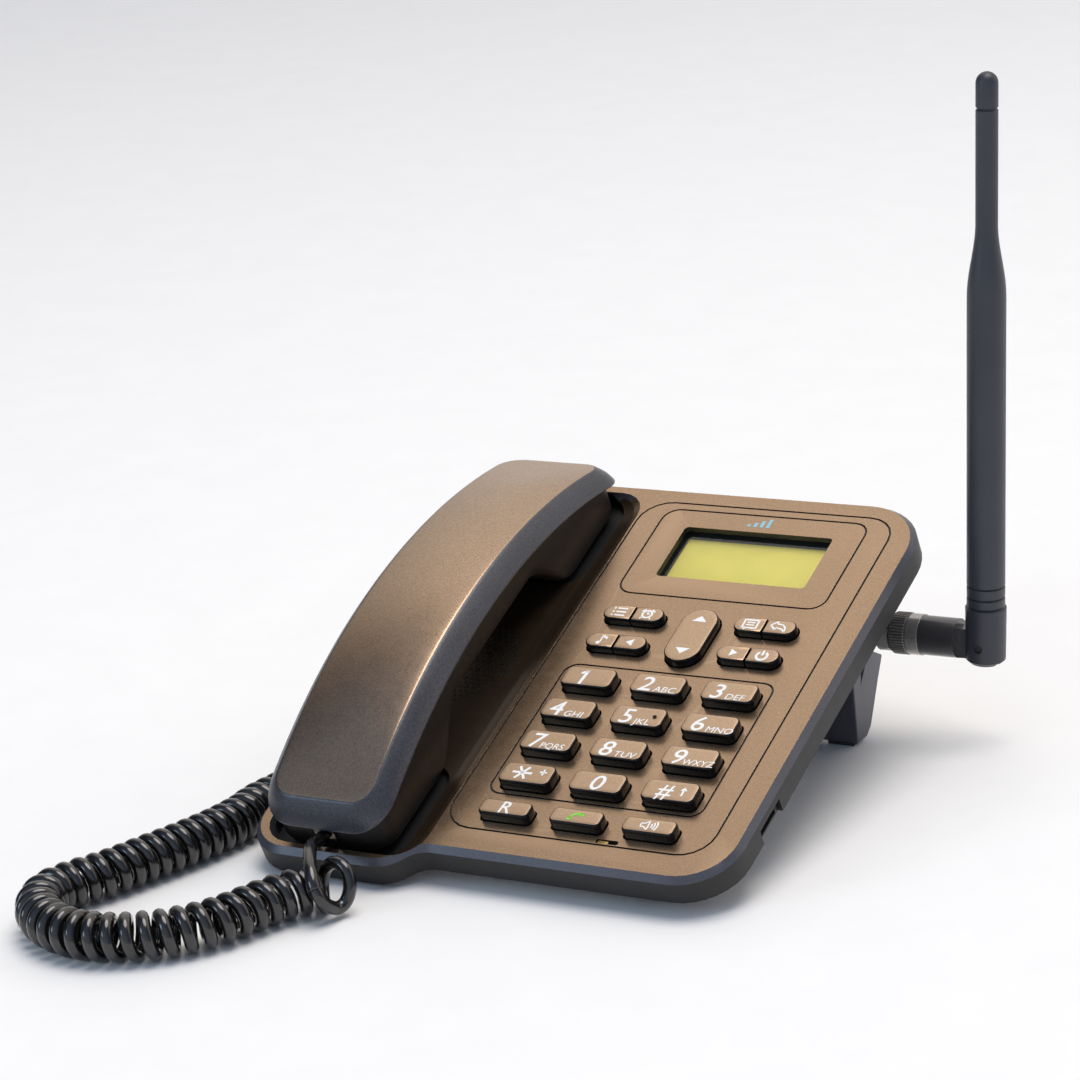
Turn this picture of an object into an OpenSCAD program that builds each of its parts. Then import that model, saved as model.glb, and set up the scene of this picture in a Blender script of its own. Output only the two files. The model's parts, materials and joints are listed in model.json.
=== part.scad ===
// Corded desk phone for a cellular network: an inclined case with a keypad and a display, a handset
// in a cradle, a folding whip antenna on a threaded jack and a curly handset cord on the table.
// The face has its own axes: u to the right, v up the slope from the top key row, h out of the face.

/* [Case] */
// Width of the painted face plate
plate_w = 168; // [166:1:172]
// Slope of the face above the table, in degrees
tilt = 21; // [20:0.5:22]
// Height of the outer wall, measured square to the face
wall_h = 9.7; // [9.5:0.1:10.5]
// Chamfer between the face plate and the wall
chamfer = 2; // [1.5:0.1:2.2]
// Depth of the handset trough below the face
trough_d = 4; // [3.5:0.1:4.2]
// Gap between the lowest edge of the wall and the table
table_gap = 1.2; // [1:0.1:1.6]

/* [Keypad] */
// Distance between key columns
key_pitch_u = 26; // [25.8:0.1:26.2]
// Distance between key rows
key_pitch_v = 15.6; // [15.4:0.1:15.8]
// Width of a digit key
key_w = 19; // [18:0.1:19.4]
// Length of a digit key up the slope
key_l = 9; // [8.6:0.1:9.4]
// Height of the digit and function keys above the face
key_rise = 3.9; // [3.4:0.1:4.2]
// Height of the soft keys and the rocker above the face
soft_rise = 2.9; // [2.4:0.1:3.2]
// Gap between a key and its opening
key_gap = 0.4; // [0.3:0.05:0.5]

/* [Handset] */
// Length of the handset along the slope
hs_len = 187; // [184:1:188]
// Width of the handset
hs_w = 48; // [46:0.5:48]
// Height of the top of the arch above the face
hs_top = 30.3; // [29.5:0.1:31]
// Radius of the arch
hs_arch = 225; // [220:1:240]

/* [Antenna] */
// Length of the mast above its hinge
mast_len = 194.5; // [185:0.5:200]
// Outward lean of the mast as it stands, in degrees
mast_lean = 4; // [0:0.5:6]
// Diameter of the mast
mast_d = 12.8; // [12:0.1:13]
// Diameter of the thin end of the mast
whip_d = 7.3; // [6.5:0.1:8]
// Diameter of the knurled nut
nut_d = 14.4; // [14:0.1:15]

/* [Cord] */
// Diameter of the cord
cord_d = 4.4; // [4:0.1:4.6]
// Outer diameter of the curly stretch
coil_d = 16; // [15:0.5:16.5]

/* [Hidden] */
PAINT = "#a68a70";
CHARCOAL = "#3c3c40";
BLACK = "#17171a";
RUBBER = "#222224";
METAL = "#c8c8c8";
PCB = "#2c5f3e";
DISPLAY = "#c6d45e";
EPS = 0.01;

// Face plate edges in face coordinates
half_w = plate_w / 2;
front_v = -79;
cradle_v = -88.5;
rear_v = 100;
front_r = 17;
rear_r = 21;
cradle_r = 14;
// The step from the cradle's front edge to the keypad's front edge is an S of two equal arcs
step_u = -36;
step_run = 18;
step_a = 2 * atan((front_v - cradle_v) / step_run);
step_r = step_run / (2 * sin(step_a));
skin = 2;

// Where the face sits above the table
plate_z = (chamfer - cradle_v) * sin(tilt) + wall_h * cos(tilt) + table_gap;
tray_d = 2.5;
tray_h = -wall_h - tray_d;
tray_inset = 3;
tray_floor = 1.3;

// Antenna jack and mast
jack_y = 86.5;
jack_z = 36.6;
boss_x = 58;
flange_x = 67;
nut_x = 72;
nut_l = 6;
ring_x = nut_x + nut_l + 0.2;
ring_l = 4.3;
sleeve_x = ring_x + ring_l;
sleeve_end = 95.5;
hinge_x = 104.8;
hinge_z = -0.9;
tongue_t = 5;
tongue_r = 5.2;
slot_t = 5.8;
pin_r = 1.5;
groove_z = [12.2, 15.6, 19.5];
rod_z = 120.3;
thin_z = 145.1;
cap_z = 182;

// The phone's own box without the cord is centred on the origin
reach_left = half_w + chamfer;
reach_right = hinge_x + (mast_len - whip_d / 2) * sin(mast_lean) + whip_d / 2;
reach_rear = (rear_v + chamfer) * cos(tilt) + wall_h * sin(tilt);
shift_x = (reach_left - reach_right) / 2;

// Keys
key_u = 2.5;
func_v = -3 * key_pitch_v - 16;
func_l = 6.4;
func_w = 18.4;
soft_w = 22.6;
soft_l = 7;
soft_split = 0.6;
soft_v = [33.4, 19.2];
soft_u = [3.4, 52.4];
rocker_w = 13.4;
rocker_l = 26.2;
rocker_c = [28.6, 25.7];
rocker_rib = 1;
key_flange = 0.9;
flange_h = -skin - 0.3;
rocker_flange_h = -skin - 1.1;
key_foot = -4.2;

// Display
lens_c = [28.2, 69];
window = [56, 26];

// Cradle and handset
cradle_u = -54;
// Trough edges at the face: left, right, front and rear, and how far each side slopes in
trough = [-80.5, -20.7, -86.5, 97];
trough_slope = [3, 10.3, 2, 2];
well_w = 51;
near_well = [-85, -40.5];
far_well = [51.5, 97];
well_floor = -6;
floor_t = 1.6;
groove_w = 0.7;
groove_d = 0.5;
hs_crown_v = 4;
hs_v0 = -86;
hs_v1 = hs_v0 + hs_len;
hs_front_h = hs_top - hs_arch + sqrt(pow(hs_arch, 2) - pow(hs_v0 - hs_crown_v, 2));
reach_front = max((chamfer - cradle_v) * cos(tilt) - chamfer * sin(tilt),
                  hs_front_h * sin(tilt) - hs_v0 * cos(tilt));
shift_y = (reach_front - reach_rear) / 2;
band = 5.5;
hs_r = 11;
hs_skin = 1.8;
grip_h = 13;
cup_h = -4.8;
near_cup = [-83, -44];
far_cup = [56, 95];
cup_ramp = 13;
hs_screw_v = [-48.5, 59.7];
grille_c = [-53, 10];
grille_r = 20;
grille_pitch = 5;
hook_c = [-54, 75];
hook_r = 2.4;
hook_foot = -8.6;

// Rear box and stand, in table coordinates
box_x = [-52, 58];
box_y = [62, 93];
box_z = 27;
box_t = 2;
stand_x = 62.6;
stand_t = 2.5;
stand_y = 70.2;
foot_h = 1.2;
foot_x = 58;
foot_y = -58;

// Jacks
jack_v = -35;
port_v = -44;
port_w = 15;
mic_c = [41, -68.4];

// Cord route, in table coordinates, from the handset to the case
handset_lead = [[-54, -81.6, 15.2], [-54.2, -86, 14.9], [-52.6, -89.8, 16.4], [-47.6, -98.2, 18.2],
                [-41.3, -107.8, 16.8], [-37.4, -112, 12.2], [-35.4, -110.6, 7.4], [-34.2, -106.6, 4.4],
                [-33.4, -102.4, 4.8], [-34.6, -99, 6.6], [-38, -98.6, 8], [-41.9, -101.9, 8.1]];
coil_route = [[-42, -102], [-47, -107], [-52, -115], [-56, -125], [-60, -134], [-66, -142], [-74, -149],
              [-84, -154], [-95, -156], [-107, -154], [-118, -148], [-125, -139], [-126, -130],
              [-122, -121], [-117, -112], [-112, -99], [-107, -86], [-103, -73], [-101, -61], [-101.2, -51],
              [-99.5, -41.5], [-96.8, -32]];
base_lead = [[-96.8, -31.9, 8.1], [-95.9, -27.5, 9], [-95.4, -24.2, 12], [-95.2, -23.8, 16.5],
             [-95, -26, 20.8], [-94.2, -28.8, 23.6], [-92, -30.3, 24.5], [-89, -30.5, 24.5]];

digit_names = ["1", "2", "3", "4", "5", "6", "7", "8", "9", "star", "0", "hash"];
func_names = ["recall", "call", "speaker"];
soft_names = ["menu", "alarm", "message", "back", "music", "left", "right", "power"];

// Frames and outlines

module table() {
    translate([shift_x, shift_y, 0])
        children();
}

module face() {
    translate([shift_x, shift_y, plate_z])
        rotate([tilt, 0, 0])
            children();
}

// Height above the table of the surface at height h off the face, at table coordinate y
function face_z(y, h) = plate_z + (y + h * sin(tilt)) * tan(tilt) + h * cos(tilt);

function arc(c, r, a0, a1, n) =
    [for (i = [0:n]) let (a = a0 + (a1 - a0) * i / n) [c[0] + r * cos(a), c[1] + r * sin(a)]];

function tail(p) = [for (i = [1:len(p) - 1]) p[i]];

// Outline of the face plate, grown outward by d
function plate_outline(d) = concat(
    arc([half_w - front_r, front_v + front_r], front_r + d, -90, 0, 8),
    arc([half_w - rear_r, rear_v - rear_r], rear_r + d, 0, 90, 10),
    arc([rear_r - half_w, rear_v - rear_r], rear_r + d, 90, 180, 10),
    arc([cradle_r - half_w, cradle_v + cradle_r], cradle_r + d, 180, 270, 8),
    arc([step_u, cradle_v + step_r], step_r + d, -90, step_a - 90, 5),
    tail(arc([step_u + step_run, front_v - step_r], step_r - d, 90 + step_a, 90, 5)));

// Rounded rectangle centred on the origin
function rounded(w, l, r, n = 5) = concat(
    arc([w / 2 - r, l / 2 - r], r, 0, 90, n),
    arc([r - w / 2, l / 2 - r], r, 90, 180, n),
    arc([r - w / 2, r - l / 2], r, 180, 270, n),
    arc([w / 2 - r, r - l / 2], r, 270, 360, n));

module slab(points, h0, h1) {
    translate([0, 0, h0])
        linear_extrude(h1 - h0)
            polygon(points);
}

module rounded_slab(c, size, r, h0, h1) {
    translate([c[0], c[1], 0])
        slab(rounded(size[0], size[1], r), h0, h1);
}

function middle(p) = [for (i = [0:2]) [for (q = p) q[i]] * [for (q = p) 1] / len(p)];

// Closed solid through rings of equal point count, each counter-clockwise seen from the next ring
module loft(rings) {
    n = len(rings[0]);
    m = len(rings);
    low = n * m;
    high = low + 1;
    top = n * (m - 1);
    faces = [for (i = [0:n - 1]) let (j = (i + 1) % n) each concat(
        [[low, i, j], [high, top + j, top + i]],
        [for (k = [0:n:top - 1]) [k + i, k + n + j, k + j]],
        [for (k = [0:n:top - 1]) [k + i, k + n + i, k + n + j]])];
    polyhedron(concat([for (r = rings) each r], [middle(rings[0]), middle(rings[m - 1])]),
               faces, convexity = 6);
}

function at_height(points, h) = [for (p = points) [p[0], p[1], h]];

// Extrusion along u of a profile given as [v, h] points
module along_u(points, u0, u1) {
    translate([u0, 0, 0])
        rotate([90, 0, 90])
            linear_extrude(u1 - u0)
                polygon(points);
}

// Cylinder along X or Y in table coordinates
module bar_x(x0, x1, r) {
    translate([x0, 0, 0])
        rotate([0, 90, 0])
            cylinder(h = x1 - x0, r = r, $fn = 64);
}

module bar_y(y0, y1, r) {
    translate([0, y0, 0])
        rotate([-90, 0, 0])
            cylinder(h = y1 - y0, r = r, $fn = 64);
}

// Keys

function digit_at(i) = [key_u + key_pitch_u * (i % 3), -key_pitch_v * floor(i / 3)];
function func_at(i) = [key_u + key_pitch_u * i, func_v];
function soft_pair(i) = [soft_u[floor(i / 2) % 2], soft_v[floor(i / 4)]];

// Left or right half of a pill, split down the middle
function half_pill(side, w, l) = let (r = l / 2 - EPS, x = w / 2 - r, s = soft_split / 2)
    side == 0
    ? concat(arc([-x, 0], r, 90, 270, 10), [[-s, -r], [-s, r]])
    : concat(arc([x, 0], r, -90, 90, 10), [[s, r], [s, -r]]);

module key_body(c, top_pts, flange_pts, rise, flange_top = flange_h) {
    translate([c[0], c[1], 0]) {
        slab(top_pts, flange_top - EPS, rise);
        slab(flange_pts, key_foot, flange_top);
    }
}

module rect_key(c, w, l, r) {
    face()
        color(PAINT)
            key_body(c, rounded(w, l, r), rounded(w + 2 * key_flange, l + 2 * key_flange, r),
                     key_rise);
}

module digit_key(i) {
    rect_key(digit_at(i), key_w, key_l, 2.2);
}

module function_key(i) {
    rect_key(func_at(i), func_w, func_l, 1.8);
}

module soft_key(i) {
    face()
        color(PAINT)
            key_body(soft_pair(i), half_pill(i % 2, soft_w, soft_l),
                     half_pill(i % 2, soft_w + 2 * key_flange, soft_l + 2 * key_flange), soft_rise);
}

module nav_rocker() {
    face()
        color(PAINT)
        {
            key_body(rocker_c, rounded(rocker_w, rocker_l, rocker_w / 2 - EPS, 8),
                     rounded(rocker_w + 2 * key_flange, rocker_l + 2 * key_flange, rocker_w / 2, 8),
                     soft_rise, rocker_flange_h);
            // Round rib it rocks on
            translate([rocker_c[0] - rocker_w / 2, rocker_c[1], key_foot])
                rotate([0, 90, 0])
                    cylinder(h = rocker_w, r = rocker_rib, $fn = 48);
        }
}

module key_openings() {
    for (i = [0:11])
        rounded_slab(digit_at(i), [key_w + 2 * key_gap, key_l + 2 * key_gap], 2.5, -skin - 1, 1);
    for (i = [0:2])
        rounded_slab(func_at(i), [func_w + 2 * key_gap, func_l + 2 * key_gap], 2.1, -skin - 1, 1);
    for (i = [0, 2, 4, 6])
        rounded_slab(soft_pair(i), [soft_w + 2 * key_gap, soft_l + 2 * key_gap], soft_l / 2, -skin - 1, 1);
    rounded_slab(rocker_c, [rocker_w + 2 * key_gap, rocker_l + 2 * key_gap], rocker_w / 2, -skin - 1, 1);
}

// Case

module pocket(u, w, span, r, h0, h1) {
    rounded_slab([u, (span[0] + span[1]) / 2], [w, span[1] - span[0]], r, h0, h1);
}

// Engraved line around a panel
module groove(c, size, r) {
    difference() {
        rounded_slab(c, size, r, -groove_d, 1);
        rounded_slab(c, size - [2, 2] * groove_w, r - groove_w, -1, 2);
    }
}

// Outline of the handset trough where its sides are s of the way down
function trough_ring(s, h) =
    let (a = trough[0] + trough_slope[0] * s, b = trough[1] - trough_slope[1] * s,
         c = trough[2] + trough_slope[2] * s, d = trough[3] - trough_slope[3] * s)
    [for (p = rounded(b - a, d - c, 11)) [p[0] + (a + b) / 2, p[1] + (c + d) / 2, h]];

module trough_cut() {
    loft([for (s = [1:-0.25:0]) trough_ring(s, -trough_d * sin(90 * s)), trough_ring(0, 1)]);
}

module grille_holes() {
    n = ceil(grille_r / grille_pitch);
    for (i = [-n:n])
        for (j = [-n:n]) {
            p = [grille_pitch * (i + (j % 2) / 2), grille_pitch * j * sin(60)];
            if (norm(p) < grille_r)
                translate([grille_c[0] + p[0], grille_c[1] + p[1], -trough_d - floor_t - 1])
                    cylinder(h = floor_t + 2, r = 0.8, $fn = 12);
        }
}

screw_at = [[-79, -24], [-79, 40], [-22, 44], [79, 52], [79, -30], [-22, -72]];
screw_r = 1;
screw_head_r = 2.3;
screw_head = 0.7;
screw_end = -trough_d - floor_t - 0.3;

module screw_bosses() {
    for (p = screw_at)
        translate([p[0], p[1], -wall_h])
            difference() {
                cylinder(h = wall_h - trough_d - floor_t + EPS, r = 2.4, $fn = 32);
                translate([0, 0, -1])
                    cylinder(h = 6, r = screw_r + 0.1, $fn = 32);
            }
}

module screw_holes() {
    for (p = screw_at)
        translate([p[0], p[1], -wall_h - 1])
            cylinder(h = screw_end + wall_h + 1.1, r = screw_r + 0.1, $fn = 32);
}

module base_top_shell() {
    color(PAINT)
        face() {
            difference() {
                loft([at_height(plate_outline(chamfer), -wall_h),
                      at_height(plate_outline(chamfer), -chamfer),
                      at_height(plate_outline(0), 0)]);
                // Space under the keypad and the display
                rounded_slab([31.2, 10.5], [100.6, 174], 13, -wall_h - 1, -skin);
                // Space under the middle of the trough
                rounded_slab([-50.5, 5], [62, 88], 3, -wall_h - 1, -trough_d - floor_t);
                // Space under the two wells
                pocket(cradle_u, well_w, near_well, 10, -wall_h - 1, well_floor - floor_t);
                pocket(cradle_u, well_w, far_well, 10, -wall_h - 1, well_floor - floor_t);
                trough_cut();
                pocket(cradle_u, well_w, near_well, 10, well_floor, 1);
                pocket(cradle_u, well_w, far_well, 10, well_floor, 1);
                grille_holes();
                key_openings();
                rounded_slab(lens_c, window, 1.5, -skin - 1, 1);
                rounded_slab(mic_c, [8, 1.8], 0.8, -skin - 1, 1);
                groove([28, 12], [96.2, 164.7], 11);
                groove([28, 68.5], [78, 45], 6);
                groove([28, -22], [78, 63.4], 5);
                translate([hook_c[0], hook_c[1], well_floor - 3])
                    cylinder(h = 5, r = hook_r + 0.3, $fn = 32);
                // Notches in the side walls for the side port and the cord jack
                translate([half_w - 6, port_v - port_w / 2, -wall_h - 1])
                    cube([10, port_w, 6.2]);
                translate([-half_w - 4, jack_v - 5, -wall_h - 1])
                    cube([8, 10, 8.2]);
                screw_holes();
            }
            screw_bosses();
        }
}

// The box under the rear of the tray, as [y, z] points in table coordinates
function box_profile(d) = [
    [box_y[0] + d, box_z + d],
    [box_y[1] - d, box_z + d],
    [box_y[1] - d, face_z(box_y[1] - d, tray_h + 1)],
    [box_y[0] + d, face_z(box_y[0] + d, tray_h + 1)]];

module box_room() {
    along_u([[box_y[0] + box_t, box_z + box_t],
             [box_y[1] - box_t, box_z + box_t],
             [box_y[1] - box_t, face_z(box_y[1] - box_t, -wall_h + 1)],
             [box_y[0] + box_t, face_z(box_y[0] + box_t, -wall_h + 1)]],
            box_x[0] + box_t, box_x[1] - box_t);
}

module base_bottom_shell() {
    color(CHARCOAL)
        difference() {
            union() {
                face()
                    slab(plate_outline(-tray_inset), tray_h, -wall_h);
                table()
                    along_u(box_profile(0), box_x[0], box_x[1]);
            }
            face() {
                slab(plate_outline(-tray_inset - 2), tray_h + tray_floor, -wall_h + 1);
                for (p = screw_at)
                    translate([p[0], p[1], tray_h - 1]) {
                        cylinder(h = 4, r = screw_r + 0.3, $fn = 32);
                        cylinder(h = 1 + screw_head, r = screw_head_r + 0.1, $fn = 32);
                    }
            }
            table() {
                box_room();
                translate([0, jack_y, jack_z])
                    bar_x(box_x[1] - box_t - 1, box_x[1] + 1, 4.9);
                translate([-44, box_y[1] - box_t - 1, box_z + 5])
                    cube([80, box_t + 2, 17]);
                translate([47, 0, 37])
                    bar_y(box_y[1] - box_t - 1, box_y[1] + 1, 4);
            }
        }
}

// One side of the stand as [y, z] points: a column under the case, a notch and a rear lobe
stand_side = [[stand_y, foot_h], [stand_y + 7.5, foot_h], [stand_y + 11, 3.6], [stand_y + 14.5, 9.5],
              [stand_y + 19, 17.6], [stand_y + 23.6, 25], [stand_y + 13.2, 30.6], [stand_y + 6.1, 21.7],
              [stand_y + 8, 30], [stand_y + 10, face_z(stand_y + 10, tray_h)],
              [stand_y, face_z(stand_y, tray_h)]];

module rear_stand() {
    color(CHARCOAL)
        table() {
            for (x = [-stand_x, stand_x - stand_t])
                along_u(stand_side, x, x + stand_t);
            along_u([[stand_y, foot_h], [stand_y + 2.4, foot_h],
                     [stand_y + 2.4, box_z - 0.4], [stand_y, box_z - 0.4]],
                    -stand_x + stand_t - EPS, stand_x - stand_t + EPS);
        }
}

// Front pads under the tray and rear pads under the stand
module rubber_feet() {
    color(RUBBER) {
        difference() {
            table()
                for (x = [-foot_x, foot_x])
                    translate([x, foot_y, 0])
                        cylinder(h = 12, r = 4.5, $fn = 48);
            face()
                translate([-100, -100, tray_h])
                    cube([200, 200, 30]);
        }
        table()
            for (x = [-56, 56])
                translate([x - 5, stand_y + 0.2, 0])
                    cube([10, 6, foot_h]);
        table()
            for (x = [-56, 56])
                translate([x - 4, stand_y + 2.4, foot_h])
                    cube([8, 3.8, 2]);
    }
}

module display_lens() {
    color(METAL)
        face()
            rounded_slab(lens_c, [window[0] + 4, window[1] + 4], 1.5, -skin - 1.5, -skin);
}

module display_module() {
    color(DISPLAY)
        face()
            rounded_slab(lens_c, [window[0] + 6, window[1] + 8], 1, -7.8, -skin - 2.6);
}

module main_board() {
    color(PCB)
        face()
            translate([-15, -62, -9.4])
                cube([91.2, 148, 1.5]);
}

module keypad_membrane() {
    color("#8d8d92")
        face()
            translate([-10, -67.3, -7.9])
                cube([77, 113.3, 2.5]);
}

module loudspeaker() {
    color(BLACK)
        face()
            translate([grille_c[0], grille_c[1], 0]) {
                translate([0, 0, -trough_d - floor_t - 1.5])
                    cylinder(h = 1.5, r = 18, $fn = 64);
                translate([0, 0, -10.5])
                    cylinder(h = 3.5, r = 12, $fn = 64);
            }
}

module base_microphone() {
    color(METAL)
        face()
            translate([mic_c[0], mic_c[1] - 2, -6])
                cylinder(h = 4, r = 3, $fn = 48);
}

module sim_holder() {
    color(METAL)
        face()
            translate([18, -22, -10.8])
                cube([27, 18, 1.4]);
}

module hook_switch() {
    color(BLACK)
        face()
            translate([hook_c[0] + 4, hook_c[1] - 4, -10.8])
                cube([10, 8, 2.8]);
}

module hook_plunger() {
    color(BLACK)
        face()
            translate([hook_c[0], hook_c[1], hook_foot]) {
                cylinder(h = cup_h - 0.1 - hook_foot, r = hook_r, $fn = 48);
                cylinder(h = 0.9, r = hook_r + 1, $fn = 48);
            }
}

module battery_pack() {
    color("#4a6f9c")
        table()
            translate([-40, 67, 33])
                cube([70, 20, 15]);
}

module battery_cover() {
    color(CHARCOAL)
        table()
            translate([-46, box_y[1], box_z + 3])
                cube([84, 1.6, 21]);
}

module antenna_jack() {
    color(METAL)
        table()
            translate([0, jack_y, jack_z]) {
                difference() {
                    union() {
                        // Inner flange with a flat against the rear wall
                        intersection() {
                            bar_x(box_x[1] - box_t - 3, box_x[1] - box_t, 7.5);
                            translate([box_x[1] - box_t - 4, -8, -8])
                                cube([5, box_y[1] - box_t - jack_y + 8, 16]);
                        }
                        bar_x(box_x[1] - box_t - EPS, flange_x + EPS, 4.9);
                        bar_x(box_x[1], box_x[1] + 2, 7);
                        bar_x(flange_x, flange_x + 4.4, 6.4);
                        bar_x(flange_x + 4.4 - EPS, nut_x + 3.2, 4.7);
                    }
                    bar_x(flange_x, nut_x + 4, 2);
                }
            }
}

module power_jack() {
    color(BLACK)
        table()
            translate([47, 0, 37])
                difference() {
                    union() {
                        bar_y(box_y[1] - box_t - 10, box_y[1] - 0.5, 3.9);
                        bar_y(box_y[1] - box_t - 10, box_y[1] - box_t, 5.4);
                    }
                    difference() {
                        bar_y(box_y[1] - 9, box_y[1] + 1, 2.75);
                        bar_y(box_y[1] - 9.5, box_y[1] - 2, 1);
                    }
                }
}

module side_port() {
    color(BLACK)
        face()
            translate([half_w - 5.2, port_v, 0])
                difference() {
                    translate([0, -port_w / 2 + 0.2, -wall_h + 0.2])
                        cube([5.6, port_w - 0.4, 4.8]);
                    translate([1, -5.5, -wall_h + 0.9])
                        cube([8, 11, 3.4]);
                }
}

module base_cord_jack() {
    color(BLACK)
        face()
            translate([-half_w - 1.6, jack_v, 0])
                difference() {
                    translate([0, -4.9, -wall_h + 0.2])
                        cube([5.4, 9.8, 6.9]);
                    translate([-1, -3.9, -wall_h + 1.2])
                        cube([5.2, 7.8, 5]);
                }
}

module housing_screws() {
    color(METAL)
        face()
            for (p = screw_at)
                translate([p[0], p[1], 0]) {
                    translate([0, 0, tray_h])
                        cylinder(h = screw_head, r = screw_head_r, $fn = 32);
                    translate([0, 0, tray_h + screw_head - EPS])
                        cylinder(h = screw_end - tray_h - screw_head, r = screw_r, $fn = 32);
                }
}

// Antenna, drawn from the jack's axis

module antenna() {
    table()
        translate([0, jack_y, jack_z])
            children();
}

module antenna_nut() {
    color(BLACK)
        antenna()
            difference() {
                bar_x(nut_x, nut_x + nut_l, nut_d / 2);
                bar_x(nut_x - 1, nut_x + nut_l + 1, 5);
            }
}

module antenna_sleeve() {
    color(BLACK)
        antenna()
            difference() {
                union() {
                    bar_x(nut_x + 3.4, ring_x + EPS, 4.6);
                    bar_x(ring_x, sleeve_x, nut_d / 2 - 0.2);
                    bar_x(sleeve_x - EPS, sleeve_end, nut_d / 2 - 0.5);
                    translate([sleeve_end - 1, -tongue_t / 2, hinge_z - tongue_r])
                        cube([hinge_x - sleeve_end + 1, tongue_t, 2 * tongue_r]);
                    translate([hinge_x, 0, hinge_z])
                        bar_y(-tongue_t / 2, tongue_t / 2, tongue_r);
                }
                translate([hinge_x, 0, hinge_z])
                    bar_y(-tongue_t, tongue_t, pin_r + 0.05);
            }
}

module antenna_pin() {
    color(METAL)
        antenna()
            translate([hinge_x, 0, hinge_z])
                bar_y(-mast_d / 2 + 0.4, mast_d / 2 - 0.4, pin_r);
}

// Profile of the mast as [radius, height above the hinge]
function mast_profile() = let (r = mast_d / 2, w = whip_d / 2, k = groove_z - [hinge_z, hinge_z, hinge_z]) concat(
    [[0, -6.6], [r - 1.2, -6.6], [r + 0.3, -5.2], [r + 0.5, k[0]]],
    [for (g = k) each [[r, g], [r - 0.6, g + 0.5], [r, g + 1]]],
    [[r, rod_z]],
    [for (i = [1:8]) let (s = i / 9) [r + (w - r) * (1 - cos(180 * s)) / 2, rod_z + (thin_z - rod_z) * s]],
    [[w, thin_z], [w, cap_z], [w - 0.5, cap_z + 0.6], [w, cap_z + 1.2]],
    [for (i = [0:6]) let (a = 90 * i / 6) [w * cos(a), mast_len - w + w * sin(a)]]);

module antenna_mast() {
    color(BLACK)
        antenna()
            translate([hinge_x, 0, hinge_z])
                rotate([0, mast_lean, 0])
                    difference() {
                        rotate_extrude($fn = 64)
                            polygon(mast_profile());
                        // Slot for the sleeve's tongue, open below and towards the sleeve
                        translate([-9, -slot_t / 2, -9])
                            cube([9 + tongue_r + 0.3, slot_t, 9 + tongue_r + 0.6]);
                        rotate([90, 0, 0])
                            cylinder(h = 20, r = pin_r + 0.01, center = true, $fn = 64);
                        // Rounded corner that clears the sleeve as the mast folds
                        difference() {
                            translate([-9, -9, -9])
                                cube([9, 18, 9]);
                            rotate([90, 0, 0])
                                cylinder(h = 20, r = 7.4, center = true, $fn = 64);
                        }
                    }
}

// Handset, drawn in face coordinates

// Height of the arch at v, lowered by d
function arch_h(v, d) = hs_top - hs_arch + sqrt(pow(hs_arch, 2) - pow(v - hs_crown_v, 2)) - d;

function arch_line(v0, v1, d, n = 24) = [for (i = [0:n]) let (v = v0 + (v1 - v0) * i / n) [v, arch_h(v, d)]];
function reversed(p) = [for (i = [len(p) - 1:-1:0]) p[i]];

module hs_plan(d, h0, h1) {
    translate([cradle_u, (hs_v0 + hs_v1) / 2, 0])
        slab(rounded(hs_w - 2 * d, hs_len - 2 * d, hs_r - d), h0, h1);
}

module hs_between(top, low) {
    along_u(concat(arch_line(hs_v0 - 1, hs_v1 + 1, top), reversed(arch_line(hs_v0 - 1, hs_v1 + 1, low))),
            cradle_u - hs_w, cradle_u + hs_w);
}

module handset_top_shell() {
    color(PAINT)
        face()
            difference() {
                intersection() {
                    hs_plan(0, -20, 40);
                    hs_between(0, band);
                }
                intersection() {
                    hs_plan(hs_skin + 1.2, -20, 40);
                    hs_between(hs_skin, band + 5);
                }
            }
}

// Underside of the handset: two cups joined by the raised grip, drawn d inside the skin
function under_line(d) = [
    [near_cup[0] + d, cup_h + d], [near_cup[1] - d, cup_h + d],
    [near_cup[1] + cup_ramp - d, grip_h - 3 + d], [near_cup[1] + cup_ramp + 10, grip_h + d],
    [far_cup[0] - cup_ramp - 10, grip_h + d], [far_cup[0] - cup_ramp + d, grip_h - 3 + d],
    [far_cup[0] + d, cup_h + d], [far_cup[1] - d, cup_h + d]];

module hs_lower(d, top) {
    intersection() {
        hs_plan(2.2 + d, -20, 40);
        along_u(concat(arch_line(near_cup[0] + d, far_cup[1] - d, top), reversed(under_line(d))),
                cradle_u - hs_w, cradle_u + hs_w);
    }
}

module handset_bottom_shell() {
    color(BLACK)
        face()
            difference() {
                hs_lower(0, band);
                hs_lower(hs_skin, band - 1);
                for (i = [-1:1])
                    for (j = [-1:1]) {
                        translate([cradle_u + 5 * i, 76 + 5 * j, cup_h - 1])
                            cylinder(h = 4, r = 0.9, $fn = 24);
                        translate([cradle_u + 4 * i, -64 + 3 * j, cup_h - 1])
                            cylinder(h = 4, r = 0.6, $fn = 24);
                    }
                translate([cradle_u - 5.1, near_cup[0] - 1, -0.1])
                    cube([10.2, 5, 7.2]);
                for (v = hs_screw_v)
                    translate([cradle_u, v, cup_h - 1]) {
                        cylinder(h = 4, r = screw_r + 0.2, $fn = 32);
                        cylinder(h = 1 + screw_head, r = screw_head_r + 0.1, $fn = 32);
                    }
            }
}

module handset_receiver() {
    color(METAL)
        face()
            translate([cradle_u, 76, cup_h + hs_skin + EPS]) {
                cylinder(h = 3, r = 15, $fn = 64);
                cylinder(h = 7, r = 8, $fn = 64);
            }
}

module handset_microphone() {
    color(METAL)
        face()
            translate([cradle_u, -64, cup_h + hs_skin + EPS])
                cylinder(h = 3, r = 5, $fn = 48);
}

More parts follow.
